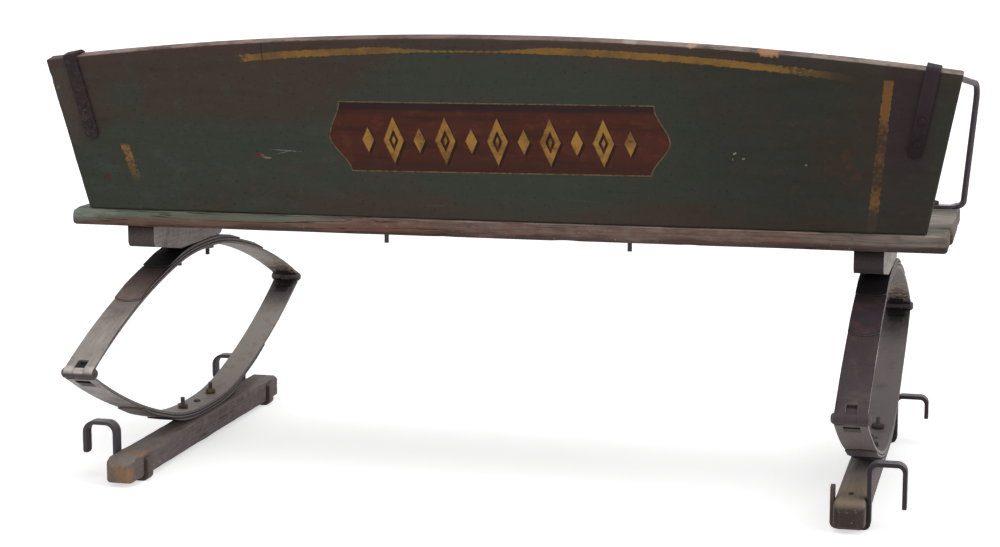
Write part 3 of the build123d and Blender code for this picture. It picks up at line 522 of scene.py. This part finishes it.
    # worn wood: the top edge, rubbed corners, chips and scratches
    normal = node("SeparateXYZ", (node("NewGeometry", out="Normal"),), 2)
    pale = coated("topEdge", ("topEdgeMid", (x, -260, -160)), ("topEdgePale", (x, 80, 280)))
    bare = coated("topEdgeDark", (pale, (x, -545, -505), (node("Math MULTIPLY_ADD", (fine, 0.4, patch)), 0.88, 0.60)))
    colour = coated(colour, (bare, (normal, 0.40, 0.75), (below, 14, 6)),
                    ("arris", edgeTurn(node, 2.0), (fleck, 0.45, 0.6), 0.55))
    for markX, markUp, halfLong, halfTall, tilt, shade, strength in look["marks"]:
        away = fromSpot(node, board, (markX, markUp, 0), (halfLong, halfTall, 900), tilt)
        away = node("Math MULTIPLY_ADD", (shake, 1.8, away))
        colour = coated(colour, (shade, (away, 1.1, 0.7, 0, strength), (out, -26, -12)))

    height = node("Math ADD", (node("Math MULTIPLY", (fine, 0.25)), node("Math MULTIPLY", (streak, 0.6)),
                               node("Math MULTIPLY", (paintLines, 0.12))))
    return finished(material, colour, (streak, 0.52, 0.68), height, 0.45, gloss=0.12)


seatWood = {
    "grey": "#7a6f68", "greyDark": "#514643", "brownGrey": "#6f5348", "topGrey": "#a49c93", "arris": "#978d84",
    "green": "#5f6658", "greenLight": "#818a7a", "olive": "#5b584c",
    "rust": "#6a4638", "umber": "#40322f", "footDark": "#33292a", "crack": "#1f1a18",
    "grainWidth": 2.2, "grainLength": 70.0,
}


def makeSeatWood():
    # pine plank silvered by weather, with green paint left on it, more towards the left
    look = seatWood
    material, place, node, mask, blotches, coated = newMaterial("weathered seat plank", look)
    x, _, z = node("SeparateXYZ", (place,)).node.outputs
    normal = node("SeparateXYZ", (node("NewGeometry", out="Normal"),), 2)
    grain = blotches(place, look["grainWidth"], 4.0, (look["grainWidth"] / look["grainLength"], 1, 1), 0.6)
    cloud = blotches(place, 90, 5.0, (0.5, 1, 1))
    patch = blotches(place, 22, 6.0, (0.35, 1, 1.4), 0.6)
    mottle = blotches(place, 8, 5.0, (0.5, 1, 1.2), 0.65)
    colour = coated("grey", ("brownGrey", (x, -270, -150), (x, 540, 340), (mottle, 0.36, 0.56, 0.45, 0.95)),
                    ("greyDark", (grain, 0.42, 0.66, 0, 0.55)), ("greyDark", (mottle, 0.52, 0.68, 0, 0.6)),
                    ("topGrey", (normal, 0.55, 0.9), (grain, 0.62, 0.4, 0.15, 0.8)))

    # paint: most at the left end, thin olive at the right one
    painted = node("Math ADD", (cloud, mask((x, -180, -540, 0, 0.30)), mask((x, 260, 420, 0, 0.10)),
                                node("Math MULTIPLY", (patch, 0.5))))
    painted = mask((painted, 0.80, 0.96, 0, 0.85))
    green = coated("green", ("olive", (x, -150, 150)), ("greenLight", (patch, 0.5, 0.66), (x, -380, -520)))

    # the rounded rear edge goes dark and rusty towards its foot
    low, high = cadBox("seat_rear_board")
    lower = mask((z, high[2] - 5, low[2] + 3))
    rusty = node("Math MULTIPLY_ADD", (lower, 0.12, cloud))
    umber = node("Math MULTIPLY_ADD", (lower, 0.5, patch))
    crackLine = blotches(place, 9, 3.0, (0.03, 1, 1), 0.5)
    crack = mask((distance(node, crackLine, 0.5), 0.012, 0.004), (cloud, 0.42, 0.56))
    # the arris colour along the edges is wear and also a painted highlight
    colour = coated(colour, (green, painted), ("rust", (rusty, 0.50, 0.62, 0, 0.7), (lower, 0.06, 0.4)),
                    ("umber", (umber, 0.80, 1.04, 0, 0.75)), ("footDark", (lower, 0.55, 0.85), (x, 250, 450, 0, 0.7)),
                    ("arris", edgeTurn(node, 2.0), (patch, 0.4, 0.6, 0, 0.4)),
                    ("arris", (blotches(place, 4, 2.0), 0.70, 0.74, 0, 0.5)), ("crack", crack, 0.85))
    height = node("Math MULTIPLY_ADD", (painted, 0.25, node("Math MULTIPLY_ADD", (crack, -1.2, grain))))
    return finished(material, colour, (grain, 0.66, 0.85), height, 0.6, gloss=0.22)


barWood = {
    "brown": "#776c66", "dark": "#504642", "purple": "#6a6063", "silver": "#9a908a", "tan": "#9a8872",
    "endGrain": "#987656", "endDark": "#3a302d", "crack": "#1b1614", "fleck": "#a09690", "dust": "#8b8181",
    "grainWidth": 1.8, "grainLength": 55.0,
    "knot": ((457, -243, 36), (4.2, 8.5, 9)),  # its middle and half sizes
    "rustAlong": -244.0,                       # where the left bar is rusty from its hook
}


def makeBarWood():
    # hardwood bar that has lain in a wagon: brown grey, silvered on top, rust-stained at its ends
    look = barWood
    material, place, node, mask, blotches, coated = newMaterial("weathered oak bar", look)
    x, y, z = node("SeparateXYZ", (place,)).node.outputs
    normalX, _, normalZ = node("SeparateXYZ", (node("NewGeometry", out="Normal"),)).node.outputs
    low, high = cadBox("left_bar")
    grain = blotches(place, look["grainWidth"], 4.0, (1, look["grainWidth"] / look["grainLength"], 1), 0.6)
    cloud = blotches(place, 40, 6.0, (1, 0.5, 1), 0.6)
    mottle = blotches(place, 9, 5.0, (1, 0.6, 1), 0.65)
    onTop = mask((normalZ, 0.4, 0.9))
    onRight = mask((x, 0, 100))
    nearEnd = node("Math MAXIMUM", (mask((y, low[1] + 14, low[1] + 3)), mask((y, high[1] - 14, high[1] - 3))))
    rings = node("VectorMath LENGTH", (node("Mapping", {0: place, "Scale": (1, 0, 1)}),), "Value")
    rings = node("Math SINE", (node("Math MULTIPLY", (rings, 2.4)),))
    colour = coated("brown", ("dark", (grain, 0.42, 0.66, 0, 0.6)), ("dark", (mottle, 0.5, 0.66, 0, 0.7)),
                    ("purple", (node("Math ABSOLUTE", (normalX,)), 0.4, 0.9), (cloud, 0.62, 0.42, 0.2, 0.6)),
                    ("silver", onTop, (cloud, 0.3, 0.6, 0.2, 0.65)), ("dust", (mottle, 0.46, 0.3, 0, 0.6)),
                    ("tan", onTop, (y, -150, -215), onRight, (grain, 0.7, 0.4, 0.4, 0.9)),
                    ("endGrain", nearEnd, (cloud, 0.36, 0.58, 0.1, 0.9), (z, high[2] - 6, high[2] - 16, 0.1, 1)),
                    ("endDark", nearEnd, onRight, (z, 34, 27, 0.45, 0.95)),
                    ("dark", nearEnd, (rings, 0.2, 0.9, 0, 0.12)))

    # cracks, a knot, rust beside the hook and wear
    crackLine = blotches(place, 11, 1.0, (1, 0.03, 1), 0.5)
    crack = mask((distance(node, crackLine, 0.5), 0.006, 0.002), (cloud, 0.48, 0.62, 0, 0.7))
    knot = node("Math ADD", (fromSpot(node, place, *look["knot"]), node("Math SUBTRACT", (grain, 0.5))))
    crack = node("Math MAXIMUM", (crack, mask((knot, 1.05, 0.7))))
    colour = coated(colour, ("endGrain", (distance(node, y, look["rustAlong"]), 26, 14), (cloud, 0.42, 0.6, 0, 0.75),
                             (onRight, 1, 0)),
                    ("silver", edgeTurn(node, 2.5), (cloud, 0.35, 0.55, 0.05, 0.45)),
                    ("fleck", (blotches(place, 4, 2.0, (1, 0.6, 1)), 0.66, 0.72, 0, 0.6)), ("crack", crack, 0.85))
    height = node("Math MULTIPLY_ADD", (crack, -1.3, grain))
    return finished(material, colour, (grain, 0.68, 0.85), height, 0.7, gloss=0.2)


cleatWood = {"brown": "#524745", "dark": "#3a3131", "right": "#261c20", "grey": "#b0a6a1", "greyLight": "#cac2bb",
             "arris": "#766c66", "grainWidth": 1.6, "grainLength": 45.0}


def makeCleatWood():
    # hardwood cleat: dark brown on its ends, darker on the right cleat, with painted light on its sides, which are
    # pale grey as if lit
    look = cleatWood
    material, place, node, _, blotches, coated = newMaterial("oak cleat with painted lit sides", look)
    x = node("SeparateXYZ", (place,), 0)
    normal = node("SeparateXYZ", (node("NewGeometry", out="Normal"),), 0)
    grain = blotches(place, look["grainWidth"], 4.0, (1, look["grainWidth"] / look["grainLength"], 1), 0.6)
    saw = blotches(place, 1.2, 2.0, (1, 1, 0.08))
    # painted light: the side faces are pale grey, paler on the right cleat, with saw marks and brown blotches in it
    grey = coated("grey", ("greyLight", (x, -100, 100)), ("arris", (saw, 0.5, 0.64, 0, 0.6)),
                  ("brown", (blotches(place, 30, 5.0), 0.52, 0.72, 0, 0.55)))
    colour = coated("brown", ("dark", (grain, 0.4, 0.66)), ("right", (x, -100, 100, 0, 0.8)),
                    (grey, (node("Math ABSOLUTE", (normal,)), 0.5, 0.9), (grain, 0.35, 0.7, 0.95, 0.6)),
                    ("arris", edgeTurn(node, 2.0), 0.35))
    height = node("Math MULTIPLY_ADD", (saw, 0.5, grain))
    return finished(material, colour, (grain, 0.6, 0.8), height, 0.5, gloss=0.25)


springSteel = {
    # outer face on the left spring and on the right one, the bloom of rust on them, and the leaf's far ends
    "main": {"left": "#978e89", "right": "#40363a", "bloom": "#5c5048", "climbed": "#766b68"},
    "second": {"left": "#7c6a65", "right": "#3b3136", "bloom": "#6a4743", "climbed": "#2e2728"},
    "third": {"left": "#272326", "right": "#221d20", "bloom": "#352b2c", "climbed": "#1b1718"},
    "shadedSeam": {"left": "#181416", "right": "#161215", "bloom": "#201a1c", "climbed": "#181416"},  # painted shade on the rounded edges where the leaves meet
    "inner": "#978e87", "innerRight": "#635a5d", "flake": "#bba888", "scale": "#2b2426",
    "below": "#aaa5a4", "belowRight": "#6f6662", "edge": "#6a605e", "edgeRight": "#857c7a",
    "barrelTop": "#c2b9b4", "barrelFoot": "#3c3537", "streak": "#c0b7b0", "bright": "#aaa29c", "gap": "#0f0c0d",
    "climbFrom": 42.0,  # height above or below the eyes at which the main and third leaves change
}


def makeSpringSteel(layer):
    # spring steel under a skin of old oxide: grey to purple brown outside, dry and dusty on the inner faces
    look = {**springSteel, **springSteel[layer]}
    material, place, node, mask, blotches, coated = newMaterial(f"oxidised spring steel, {layer} leaf", look)
    main, onLeaf = int(layer == "main"), int(layer != "shadedSeam")
    x, y, z = node("SeparateXYZ", (place,)).node.outputs
    normalX, _, normalZ = node("SeparateXYZ", (node("NewGeometry", out="Normal"),)).node.outputs
    onRight = mask((x, -100, 100))
    leftEye, rightEye = (cadMiddle(side + "_rear_eye_pin")[2] for side in sides)
    eyeZ = mask((x, -100, 100, leftEye, rightEye))
    climb = node("Math SUBTRACT", (z, eyeZ))
    climbFrom = look["climbFrom"] if layer in ("main", "third") else cadBox("left_upper_second_leaf")[0][2] - leftEye
    cloud = blotches(place, 45, 6.0, (1.4, 0.6, 1), 0.6)
    bloom = blotches(place, 24, 5.0, (1, 0.7, 1), 0.62)
    pits = blotches(place, 2.5, 4.0, (1, 0.8, 1), 0.7)
    streak = blotches(place, 2.2, 3.0, (1, 0.07, 0.07))
    climbed = node("Math ADD", (node("Math ABSOLUTE", (climb,)), node("Math MULTIPLY", (bloom, 24))))
    colour = coated("left", ("below", (climb, 0, -8, 0, 0.6 * main)),
                    ("streak", (streak, 0.5, 0.72, 0, 0.35 if main else 0.12)),
                    ("climbed", (climbed, climbFrom + 8, climbFrom + 46, 0, 0.9)), ("right", onRight),
                    ("belowRight", onRight, (climb, 0, -14, 0, 0.6 * main)),
                    ("bloom", (bloom, 0.48, 0.72, 0, 0.5)), ("scale", (cloud, 0.52, 0.74, 0, 0.4)),
                    ("scale", (pits, 0.58, 0.72, 0, 0.4)))

    # the inner faces, with flakes, and painted shade near the front eye
    inwards = node("Math MULTIPLY", (normalZ, node("Math SIGN", (node("Math SUBTRACT", (eyeZ, z)),))))
    fromFrontEye = node("Math SUBTRACT", (cadBox("left_front_eye_pin")[0][1], y))
    flakes = blotches(place, 5.5, 3.0, (1, 0.6, 0.8), 0.7)
    frontEyeShade = node("Math MULTIPLY_ADD", (bloom, 40, fromFrontEye))
    inner = coated("inner", ("innerRight", onRight, (climb, 0, 60, 0.9, 0.62)),
                   ("scale", (bloom, 0.52, 0.72, 0, 0.35)), ("scale", (frontEyeShade, 104, 36, 0, 0.95)),
                   ("flake", (flakes, 0.51, 0.57), (fromFrontEye, 180, 60), (climb, -10, 20, 0.08, 1), 0.55))

    # the leaves' edges; the rolled eyes, with painted light on top and painted shade below; painted shade in the
    # opening below each eye and in the crevices
    edge = coated("edge", ("edgeRight", onRight), ("scale", (pits, 0.5, 0.66, 0, 0.5)))
    eyeAway = node("Math SUBTRACT", (node("Math ABSOLUTE", (y,)), cadMiddle("left_front_eye_pin")[1]))
    fromPin = node("VectorMath LENGTH", (node("CombineXYZ", (eyeAway, climb)),), "Value")
    # painted light on the rolled eyes: light on their upward faces, mostly at the rear, dark below; the right ones
    # take the right leaf's colour
    barrel = coated("barrelFoot", ("barrelTop", (normalZ, -0.25, 0.75), (y, 100, -100, 0.15, 1)),
                    (look["main"]["right"], onRight), ("scale", (bloom, 0.5, 0.7, 0, 0.4)))
    acrossEye = distance(node, node("Math ABSOLUTE", (x,)), cadMiddle("right_rear_eye_pin")[0])
    # painted shade: ambient occlusion darkens the crevices, such as between the leaves
    gap = node("AmbientOcclusion", {"Distance": 12 * mm}, "AO", samples=6)
    colour = coated(colour, (inner, (inwards, 0.12, 0.5, 0, 0.92 * onLeaf)),
                    (edge, (node("Math ABSOLUTE", (normalX,)), 0.7, 0.9, 0, 0.9 * onLeaf)),
                    (barrel, (fromPin, 9.5, 8.0, 0, 0.9 * main)),
                    # painted shade: a dark patch in the scale colour on the lower main leaf below each eye, where its
                    # slot opens
                    ("scale", (acrossEye, 10.3, 9.3), (climb, -1, -3), (fromPin, 38, 35), (fromPin, 10, 12),
                     0.92 * main),
                    ("gap", (gap, 0.62, 0.12, 0, 0.92)))
    # bright edges: wear, and also a painted highlight along the leaves' edges
    if onLeaf:
        arris = mask(edgeTurn(node, 0.9), (pits, 0.35, 0.55, 0.2, 0.85), (fromPin, 7, 10, 0.2, 1))
        colour = coated(colour, ("bright", arris))
    return finished(material, colour, (pits, 0.55, 0.75), pits, 0.35, gloss=0.3, metallic=0.25)


forgedIron = {
    "black": "#47434a", "brown": "#4c4245", "dust": "#a59fa3", "rust": "#574038", "bright": "#a09a9c",
    "hookRight": "#2c2528", "clip": "#57483f", "clipSide": 447.0, "hooksBelow": 150.0,
    "strap": "#2f2627", "strapRight": "#1d1418", "strapTop": "#31262a", "lump": "#7c6f5f",
    "strapFace": -189.5, "strapFoot": 345.0,  # the straps' outer faces lie behind and above these
}


def makeForgedIron():
    # hammered wrought iron: blue-black scale, browner in hollows, grey on upward faces, which is dust and also a
    # painted highlight
    look = forgedIron
    material, place, node, mask, blotches, coated = newMaterial("forged wrought iron", look)
    x, _, z = node("SeparateXYZ", (place,)).node.outputs
    normal = node("SeparateXYZ", (node("NewGeometry", out="Normal"),), 2)
    cloud = blotches(place, 18, 5.0)
    dents = blotches(place, 5, 3.0)
    pits = blotches(place, 1.6, 4.0, rough=0.7)
    # painted shade: the hooks on the right are darker, except on their upward faces, and their clips are as brown as
    # the bars
    hook = mask((z, look["hooksBelow"] + 10, look["hooksBelow"]))
    clip = mask(hook, (node("Math ABSOLUTE", (x,)), look["clipSide"] + 4, look["clipSide"], 0, 0.7))
    # the dust on upward faces is also a painted highlight on the tops of the irons
    colour = coated("black", ("brown", (cloud, 0.4, 0.6)), ("rust", (pits, 0.58, 0.75, 0, 0.6)),
                    ("dust", (normal, 0.2, 0.85), (cloud, 0.3, 0.6, 0.85, 0.5)),
                    ("bright", edgeTurn(node, 0.9), (dents, 0.35, 0.6, 0, 0.5)),
                    ("hookRight", hook, (x, -100, 100), (normal, 0.3, 0.9, 0.88, 0.4)), ("clip", clip))
    height = node("Math MULTIPLY_ADD", (pits, 0.35, dents))
    return finished(material, colour, (pits, 0.48, 0.68), height, 0.6, gloss=0.22, metallic=0.15)


def makePaintedIron():
    # the straps on the back's outer face: iron gone dark with the paint, lumpy with rust on the left
    material, place, node, mask, blotches, coated = newMaterial("painted strap iron", forgedIron)
    x, _, z = node("SeparateXYZ", (place,)).node.outputs
    cloud = blotches(place, 9, 5.0)
    pits = blotches(place, 3.4, 4.0, rough=0.7)
    onRight = mask((x, -100, 100))
    colour = coated("strap", ("brown", (cloud, 0.5, 0.64, 0, 0.35)), ("strapRight", onRight, 0.95),
                    ("strapTop", onRight, (z, 440, 520)),
                    ("lump", (pits, 0.57, 0.72), (onRight, 0, 1, 0.7, 0.15), (z, 520, 455, 0.1, 1)))
    height = node("Math MULTIPLY_ADD", (pits, 0.5, cloud))
    return finished(material, colour, (pits, 0.55, 0.75), height, 0.9, gloss=0.12)


rustyIron = {
    "fittings": {"brown": "#564c49", "black": "#332c2d", "bloom": "#75634f", "right": "#4d4446", "amount": 0.5},
    "nuts": {"brown": "#6e5f45", "black": "#40362b", "bloom": "#958058", "right": "#352c2d", "amount": 0.65},
    "bright": "#978e87",
}


def makeRustyIron(kind):
    # small iron fittings: brown rust with an ochre bloom, rubbed bright at the corners
    look = {**rustyIron, **rustyIron[kind]}
    material, place, node, _, blotches, coated = newMaterial("rusty iron " + kind, look)
    cloud = blotches(place, 6, 4.0)
    pits = blotches(place, 1.2, 4.0, rough=0.7)
    colour = coated("brown", ("black", (cloud, 0.42, 0.6)), ("bloom", (pits, 0.50, 0.68, 0, look["amount"])),
                    ("right", (node("SeparateXYZ", (place,)), -100, 100, 0, 0.85)),
                    ("bright", edgeTurn(node, 0.6), (cloud, 0.35, 0.6, 0.05, 0.6)))
    return finished(material, colour, (pits, 0.5, 0.75), pits, 0.3, gloss=0.35, metallic=0.3)


makeCamera()
makeStudio()
print("camera, light and floor are in place")

paint = makeWagonPaint()
plankWood = makeSeatWood()
oakBar = makeBarWood()
oakCleat = makeCleatWood()
steel = {layer: makeSpringSteel(layer) for layer in ("main", "second", "third", "shadedSeam")}
iron = makeForgedIron()
strapIron = makePaintedIron()
fittings = makeRustyIron("fittings")
nutIron = makeRustyIron("nuts")
print("materials are made")


# wooden pieces

backboard = {
    "step": (5.0, 4.0, 5.5), "rim": 2.4,
    "grainWidth": 5.0, "grainLength": 120.0, "grainDepth": 0.22, "edgeWave": 26.0, "edgeWear": 0.9,
    # middle, reach and depth
    "dents": (((254.7, 229, 0), (8, 5, 8), 1.6), ((346, 222, 0), (17, 8, 9), 1.9), ((485, 211, 0), (16, 5, 8), 1.2),
              ((38.8, 234, -6), (34, 7, 14), 1.4), ((-430, 220, 0), (26, 8, 12), 1.2),
              ((-571, 172, 0), (8, 9, 20), 1.5)),
}


def makeBackboard():
    low = (-backFrame["cornerHalf"], 0, -backFrame["thickness"])
    high = (backFrame["cornerHalf"], backFrame["peakHeight"], 0)
    mesh = evenGrid(low, high, backboard["step"], backboard["rim"])
    lean = radians(backFrame["lean"])
    for vertex in mesh.verts:
        share = vertex.co.x / backFrame["cornerHalf"]
        rise = vertex.co.y / backFrame["peakHeight"]
        half = backFrame["bottomHalf"] + (backFrame["cornerHalf"] - backFrame["bottomHalf"]) * rise
        vertex.co.x = share * half
        vertex.co.y = rise * archHeight(share * backFrame["cornerHalf"]) + (1 - rise) * vertex.co.z * tan(lean)
    weather(mesh, backboard, along=0)
    stand = Matrix.Translation(backFrame["foot"]) @ Matrix.Rotation(pi / 2 + lean, 4, "X")
    bmesh.ops.transform(mesh, matrix=stand, verts=mesh.verts)
    for vertex in mesh.verts:
        vertex.co.z = max(vertex.co.z, backFrame["foot"][2])
    standFor(newPiece("worn_backboard", mesh, paint), "painted_board", "backboard")


seatBoard = {
    "step": (5.0, 5.0, 4.4), "rim": 5.0,
    "grainWidth": 3.5, "grainLength": 80.0, "grainDepth": 0.45, "edgeWave": 30.0, "edgeWear": 1.3,
}
seatDents = {
    "seat_rear_board": (((-170, -190, 335), (34, 9, 8), 2.6), ((-60, -190, 322), (20, 8, 6), 2.4),
                        ((96, -190, 321), (26, 8, 7), 2.6), ((-555, -186, 341), (18, 14, 10), 1.5),
                        ((30, -190, 337), (22, 8, 6), 1.6), ((250, -190, 322), (18, 8, 6), 1.8)),
    "seat_front_board": (((561, -60, 335), (10, 34, 8), 2.4), ((560, 40, 322), (10, 22, 8), 2.0)),
}


def makeSeatBoards():
    for node, dents in seatDents.items():
        low, high = cadBox(node)
        mesh = evenGrid(low, high, seatBoard["step"], seatBoard["rim"])
        weather(mesh, {**seatBoard, "dents": dents}, along=0)
        standFor(newPiece("worn_" + node, mesh, plankWood), "seat_board", node)


bar = {
    "step": (3.5, 5.0, 3.5), "rim": 5.2, "endCorner": 6.0, "slopeLength": 15.0, "slopeDrop": 8.0,
    "grainWidth": 2.6, "grainLength": 60.0, "grainDepth": 0.7, "edgeWave": 18.0, "edgeWear": 1.6,
}


def makeBars():
    for side in sides:
        low, high = cadBox(side + "_bar")
        mesh = evenGrid(low, high, bar["step"], bar["rim"])
        middleX = (low[0] + high[0]) / 2
        halfWidth = (high[0] - low[0]) / 2
        height = high[2] - low[2]
        for vertex in mesh.verts:
            fromEnd = min(vertex.co.y - low[1], high[1] - vertex.co.y)
            if fromEnd < bar["endCorner"]:
                narrow = 1 - (bar["endCorner"] - fromEnd) / halfWidth
                vertex.co.x = middleX + (vertex.co.x - middleX) * narrow
            if fromEnd < bar["slopeLength"]:
                drop = bar["slopeDrop"] * (1 - fromEnd / bar["slopeLength"])
                vertex.co.z -= drop * (vertex.co.z - low[2]) / height
        weather(mesh, bar, along=1)
        standFor(newPiece("worn_" + side + "_bar", mesh, oakBar), "bar_wood", side + "_bar")


cleat = {"rounding": 1.6, "step": 6.0,
         "grainWidth": 2.4, "grainLength": 45.0, "grainDepth": 0.35, "edgeWave": 14.0, "edgeWear": 0.6}


def makeCleats():
    for side in sides:
        node = side + "_cleat"
        mesh = copyOfNode(node)
        roundEdges(mesh, cleat["rounding"], 3)
        low, high = cadBox(node)
        crossCuts(mesh, 1, low[1], high[1], cleat["step"])
        weather(mesh, cleat, along=1)
        standFor(newPiece("worn_" + node, mesh, oakCleat), "cleat_wood", node)


# springs

leaf = {
    "step": 9.0, "barTop": 37.0, "clampZone": 10.0,  # each span of leaves is set to start this far above the bar's top and end this far below the cleat's foot
    # rounding along the outline, which stops short of the eyes and beside the bolts, and round the holes
    "rounding": 1.1, "holeRounding": 0.25, "eyeReach": 26.0, "besideBolts": 15.0, "boltsReach": 100.0,
    # the rolled ends tucked behind each eye: half width, from and to along the leaf
    "upper": (8.8, 5.0, 22.5), "lower": (12.0, 9.5, 23.0), "tuckedGap": 0.5, "tuckedThick": 2.2,
    # where rays find the inner face: beside the eye, two places before it, and their start above or below
    "besideEye": 15.0, "beforeEye": (30.0, 14.0), "rayStart": 90.0,
}


def addTuckedEnds(mesh, level, centreX, eyeY, eyeZ, rearMaterial):
    # a plate behind the opening beside each eye, lying against the leaf's inner face; the front one takes the
    # near-black seam material as painted shade
    halfWidth, near, far = leaf[level]
    inwards = -1 if level == "upper" else 1
    inside = BVHTree.FromBMesh(mesh)
    for end in (-1, 1):
        spots = []
        for away in leaf["beforeEye"]:
            start = Vector((centreX + leaf["besideEye"], end * (eyeY - away), eyeZ + leaf["rayStart"] * inwards))
            spot = inside.ray_cast(start, Vector((0, 0, -inwards)))[0]
            spots.append(Vector((0, spot.y, spot.z)))
        along = (spots[1] - spots[0]).normalized()
        facing = Vector((0, -along.z, along.y))
        if facing.z * inwards < 0:
            facing.negate()
        foot = spots[0] + along * (Vector((0, end * eyeY, eyeZ)) - spots[0]).dot(along)
        middle = foot - along * (near + far) / 2 + facing * (leaf["tuckedGap"] + leaf["tuckedThick"] / 2)
        plate = bmesh.ops.create_cube(mesh, size=1)["verts"]
        shape = Matrix.Diagonal((2 * halfWidth, far - near, leaf["tuckedThick"], 1))
        turn = Matrix.Rotation(atan2(along.z, along.y), 4, "X")
        stand = Matrix.Translation(Vector((centreX, 0, 0)) + middle)
        bmesh.ops.transform(mesh, matrix=stand @ turn @ shape, verts=plate)
        for face in {face for vertex in plate for face in vertex.link_faces}:
            face.material_index = 1 if end > 0 else rearMaterial


def makeLeaves():
    cleatFoot = cadBox("left_cleat")[0][2]
    for side in sides:
        centreX, eyeY, eyeZ = cadMiddle(side + "_front_eye_pin")
        spans = {"lower": ("base", "spring_eyes", leaf["barTop"] + leaf["clampZone"], eyeZ),
                 "upper": ("spring_eyes", "seat", eyeZ, cleatFoot - leaf["clampZone"])}

        def onOutline(place):
            clearOfBolts = abs(place.x - centreX) > leaf["besideBolts"] or abs(place.y) > leaf["boltsReach"]
            return abs(place.y) < eyeY - leaf["eyeReach"] and clearOfBolts

        for level, (below, above, start, end) in spans.items():
            outwards = 1 if level == "upper" else -1
            for layer in ("main", "second", "third"):
                node = f"{side}_{level}_{layer}_leaf"
                mesh = copyOfNode(node)
                # the outline first, because the short edges of holes and eyes allow only little rounding
                rounded = roundEdges(mesh, leaf["rounding"], 3, chosen=onOutline)
                rounded += roundEdges(mesh, leaf["holeRounding"], 3)
                for face in rounded:
                    facing = face.normal.z * outwards if face.is_valid else 0
                    if facing > 0 and layer != "third" or facing < 0 and layer != "main":
                        face.material_index = 1  # painted shade where two leaves meet
                low, high = cadBox(node)
                crossCuts(mesh, 1, low[1], high[1], leaf["step"])
                if layer == "main":  # the right spring's rear ends are bare steel; the other plates take the painted shade
                    addTuckedEnds(mesh, level, centreX, eyeY, eyeZ, rearMaterial=1 if side == "left" else 0)
                piece = newPiece("forged_" + node, mesh, steel[layer])
                piece.data.materials.append(steel["shadedSeam"])
                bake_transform(piece)
                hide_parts(node)


# iron pieces

ironRounding = 0.9
# how the rails sag behind the back, and the cuts (from, to, step) that let them bend there
armDip = {"drop": 9.0, "behind": (-212.0, -186.0), "above": (400.0, 500.0), "cuts": (-216.0, -180.0, 4.0)}


def makeIrons():
    # hooks, arm irons and knees with the soft edges of forging
    for node in ("left_rear_hook", "left_front_hook", "right_rear_hook", "right_front_hook",
                 "left_arm_iron", "right_arm_iron", "left_back_knee", "right_back_knee"):
        mesh = copyOfNode(node)
        roundEdges(mesh, ironRounding, 3)
        if node.endswith("arm_iron"):
            crossCuts(mesh, 1, *armDip["cuts"])
            for vertex in mesh.verts:
                behind = smoothStep(vertex.co.y, *armDip["behind"]) * smoothStep(vertex.co.z, *armDip["above"])
                vertex.co.z -= armDip["drop"] * behind
            mesh.normal_update()
            for face in mesh.faces:
                middle = face.calc_center_median()
                onOuterFace = middle.y < forgedIron["strapFace"] and middle.z > forgedIron["strapFoot"]
                face.material_index = 1 if onOuterFace else 0
        piece = newPiece("forged_" + node, mesh, iron)
        piece.data.materials.append(strapIron)
        standFor(piece, "forged_iron", node)


def keepNode(node, material):
    # a CAD node whose shape is right keeps its mesh
    target = frame["nodes"][node]
    target.data.materials.clear()
    target.data.materials.append(material)


nutRounding = 0.5
nutOnTop = {"lower_clamp": True, "upper_clamp": False, "arm_foot": True, "knee": False}  # which end is open


def makeNuts():
    # square nuts with hammered, rounded corners
    for kind in nutOnTop:
        mesh = copyOfNode(kind + "_nuts")
        roundEdges(mesh, nutRounding)
        standFor(newPiece(f"square_{kind}_nuts", mesh, nutIron), "fastener_iron", kind + "_nuts")


thread = {"pitch": 1.1, "depth": 0.32, "endChamfer": 0.8}


def makeBolts():
    # bolts whose open ends carry a cut thread, as rings a pitch apart
    for kind, onTop in nutOnTop.items():
        bolts = kind + "_bolts"
        mesh = copyOfNode(bolts)
        low, high = cadBox(bolts)
        nutLow, nutHigh = cadBox(kind + "_nuts")
        chamfer = thread["endChamfer"]
        start, end = (nutHigh[2], high[2] - chamfer) if onTop else (low[2] + chamfer, nutLow[2])
        halfTurns = 2 * round((end - start) / thread["pitch"])
        for k in range(halfTurns + 1):
            cutThrough(mesh, 2, start + (end - start) * k / halfTurns)
        mesh.normal_update()
        for vertex in mesh.verts:
            turn = (vertex.co.z - start) / (end - start) * halfTurns
            if 0.5 < turn < halfTurns - 0.5 and round(turn) % 2:
                outwards = Vector((vertex.normal.x, vertex.normal.y, 0)).normalized()
                vertex.co -= outwards * thread["depth"]
        standFor(newPiece("threaded_" + bolts, mesh, fittings), "fastener_iron", bolts)


for name in ("hook_screws", "lower_pack_rivets", "seat_screws", "upper_pack_rivets", "knee_screws",
             *(f"{side}_{end}_eye_pin" for side in sides for end in ("rear", "front"))):
    keepNode(name, fittings)
keepNode("strap_rivets", strapIron)

makeBackboard()
makeSeatBoards()
makeBars()
makeCleats()
print("boards, bars and cleats are worn")
makeLeaves()
print("springs are forged")
makeIrons()
makeNuts()
makeBolts()
print("hooks, arm irons, nuts and bolts are forged")
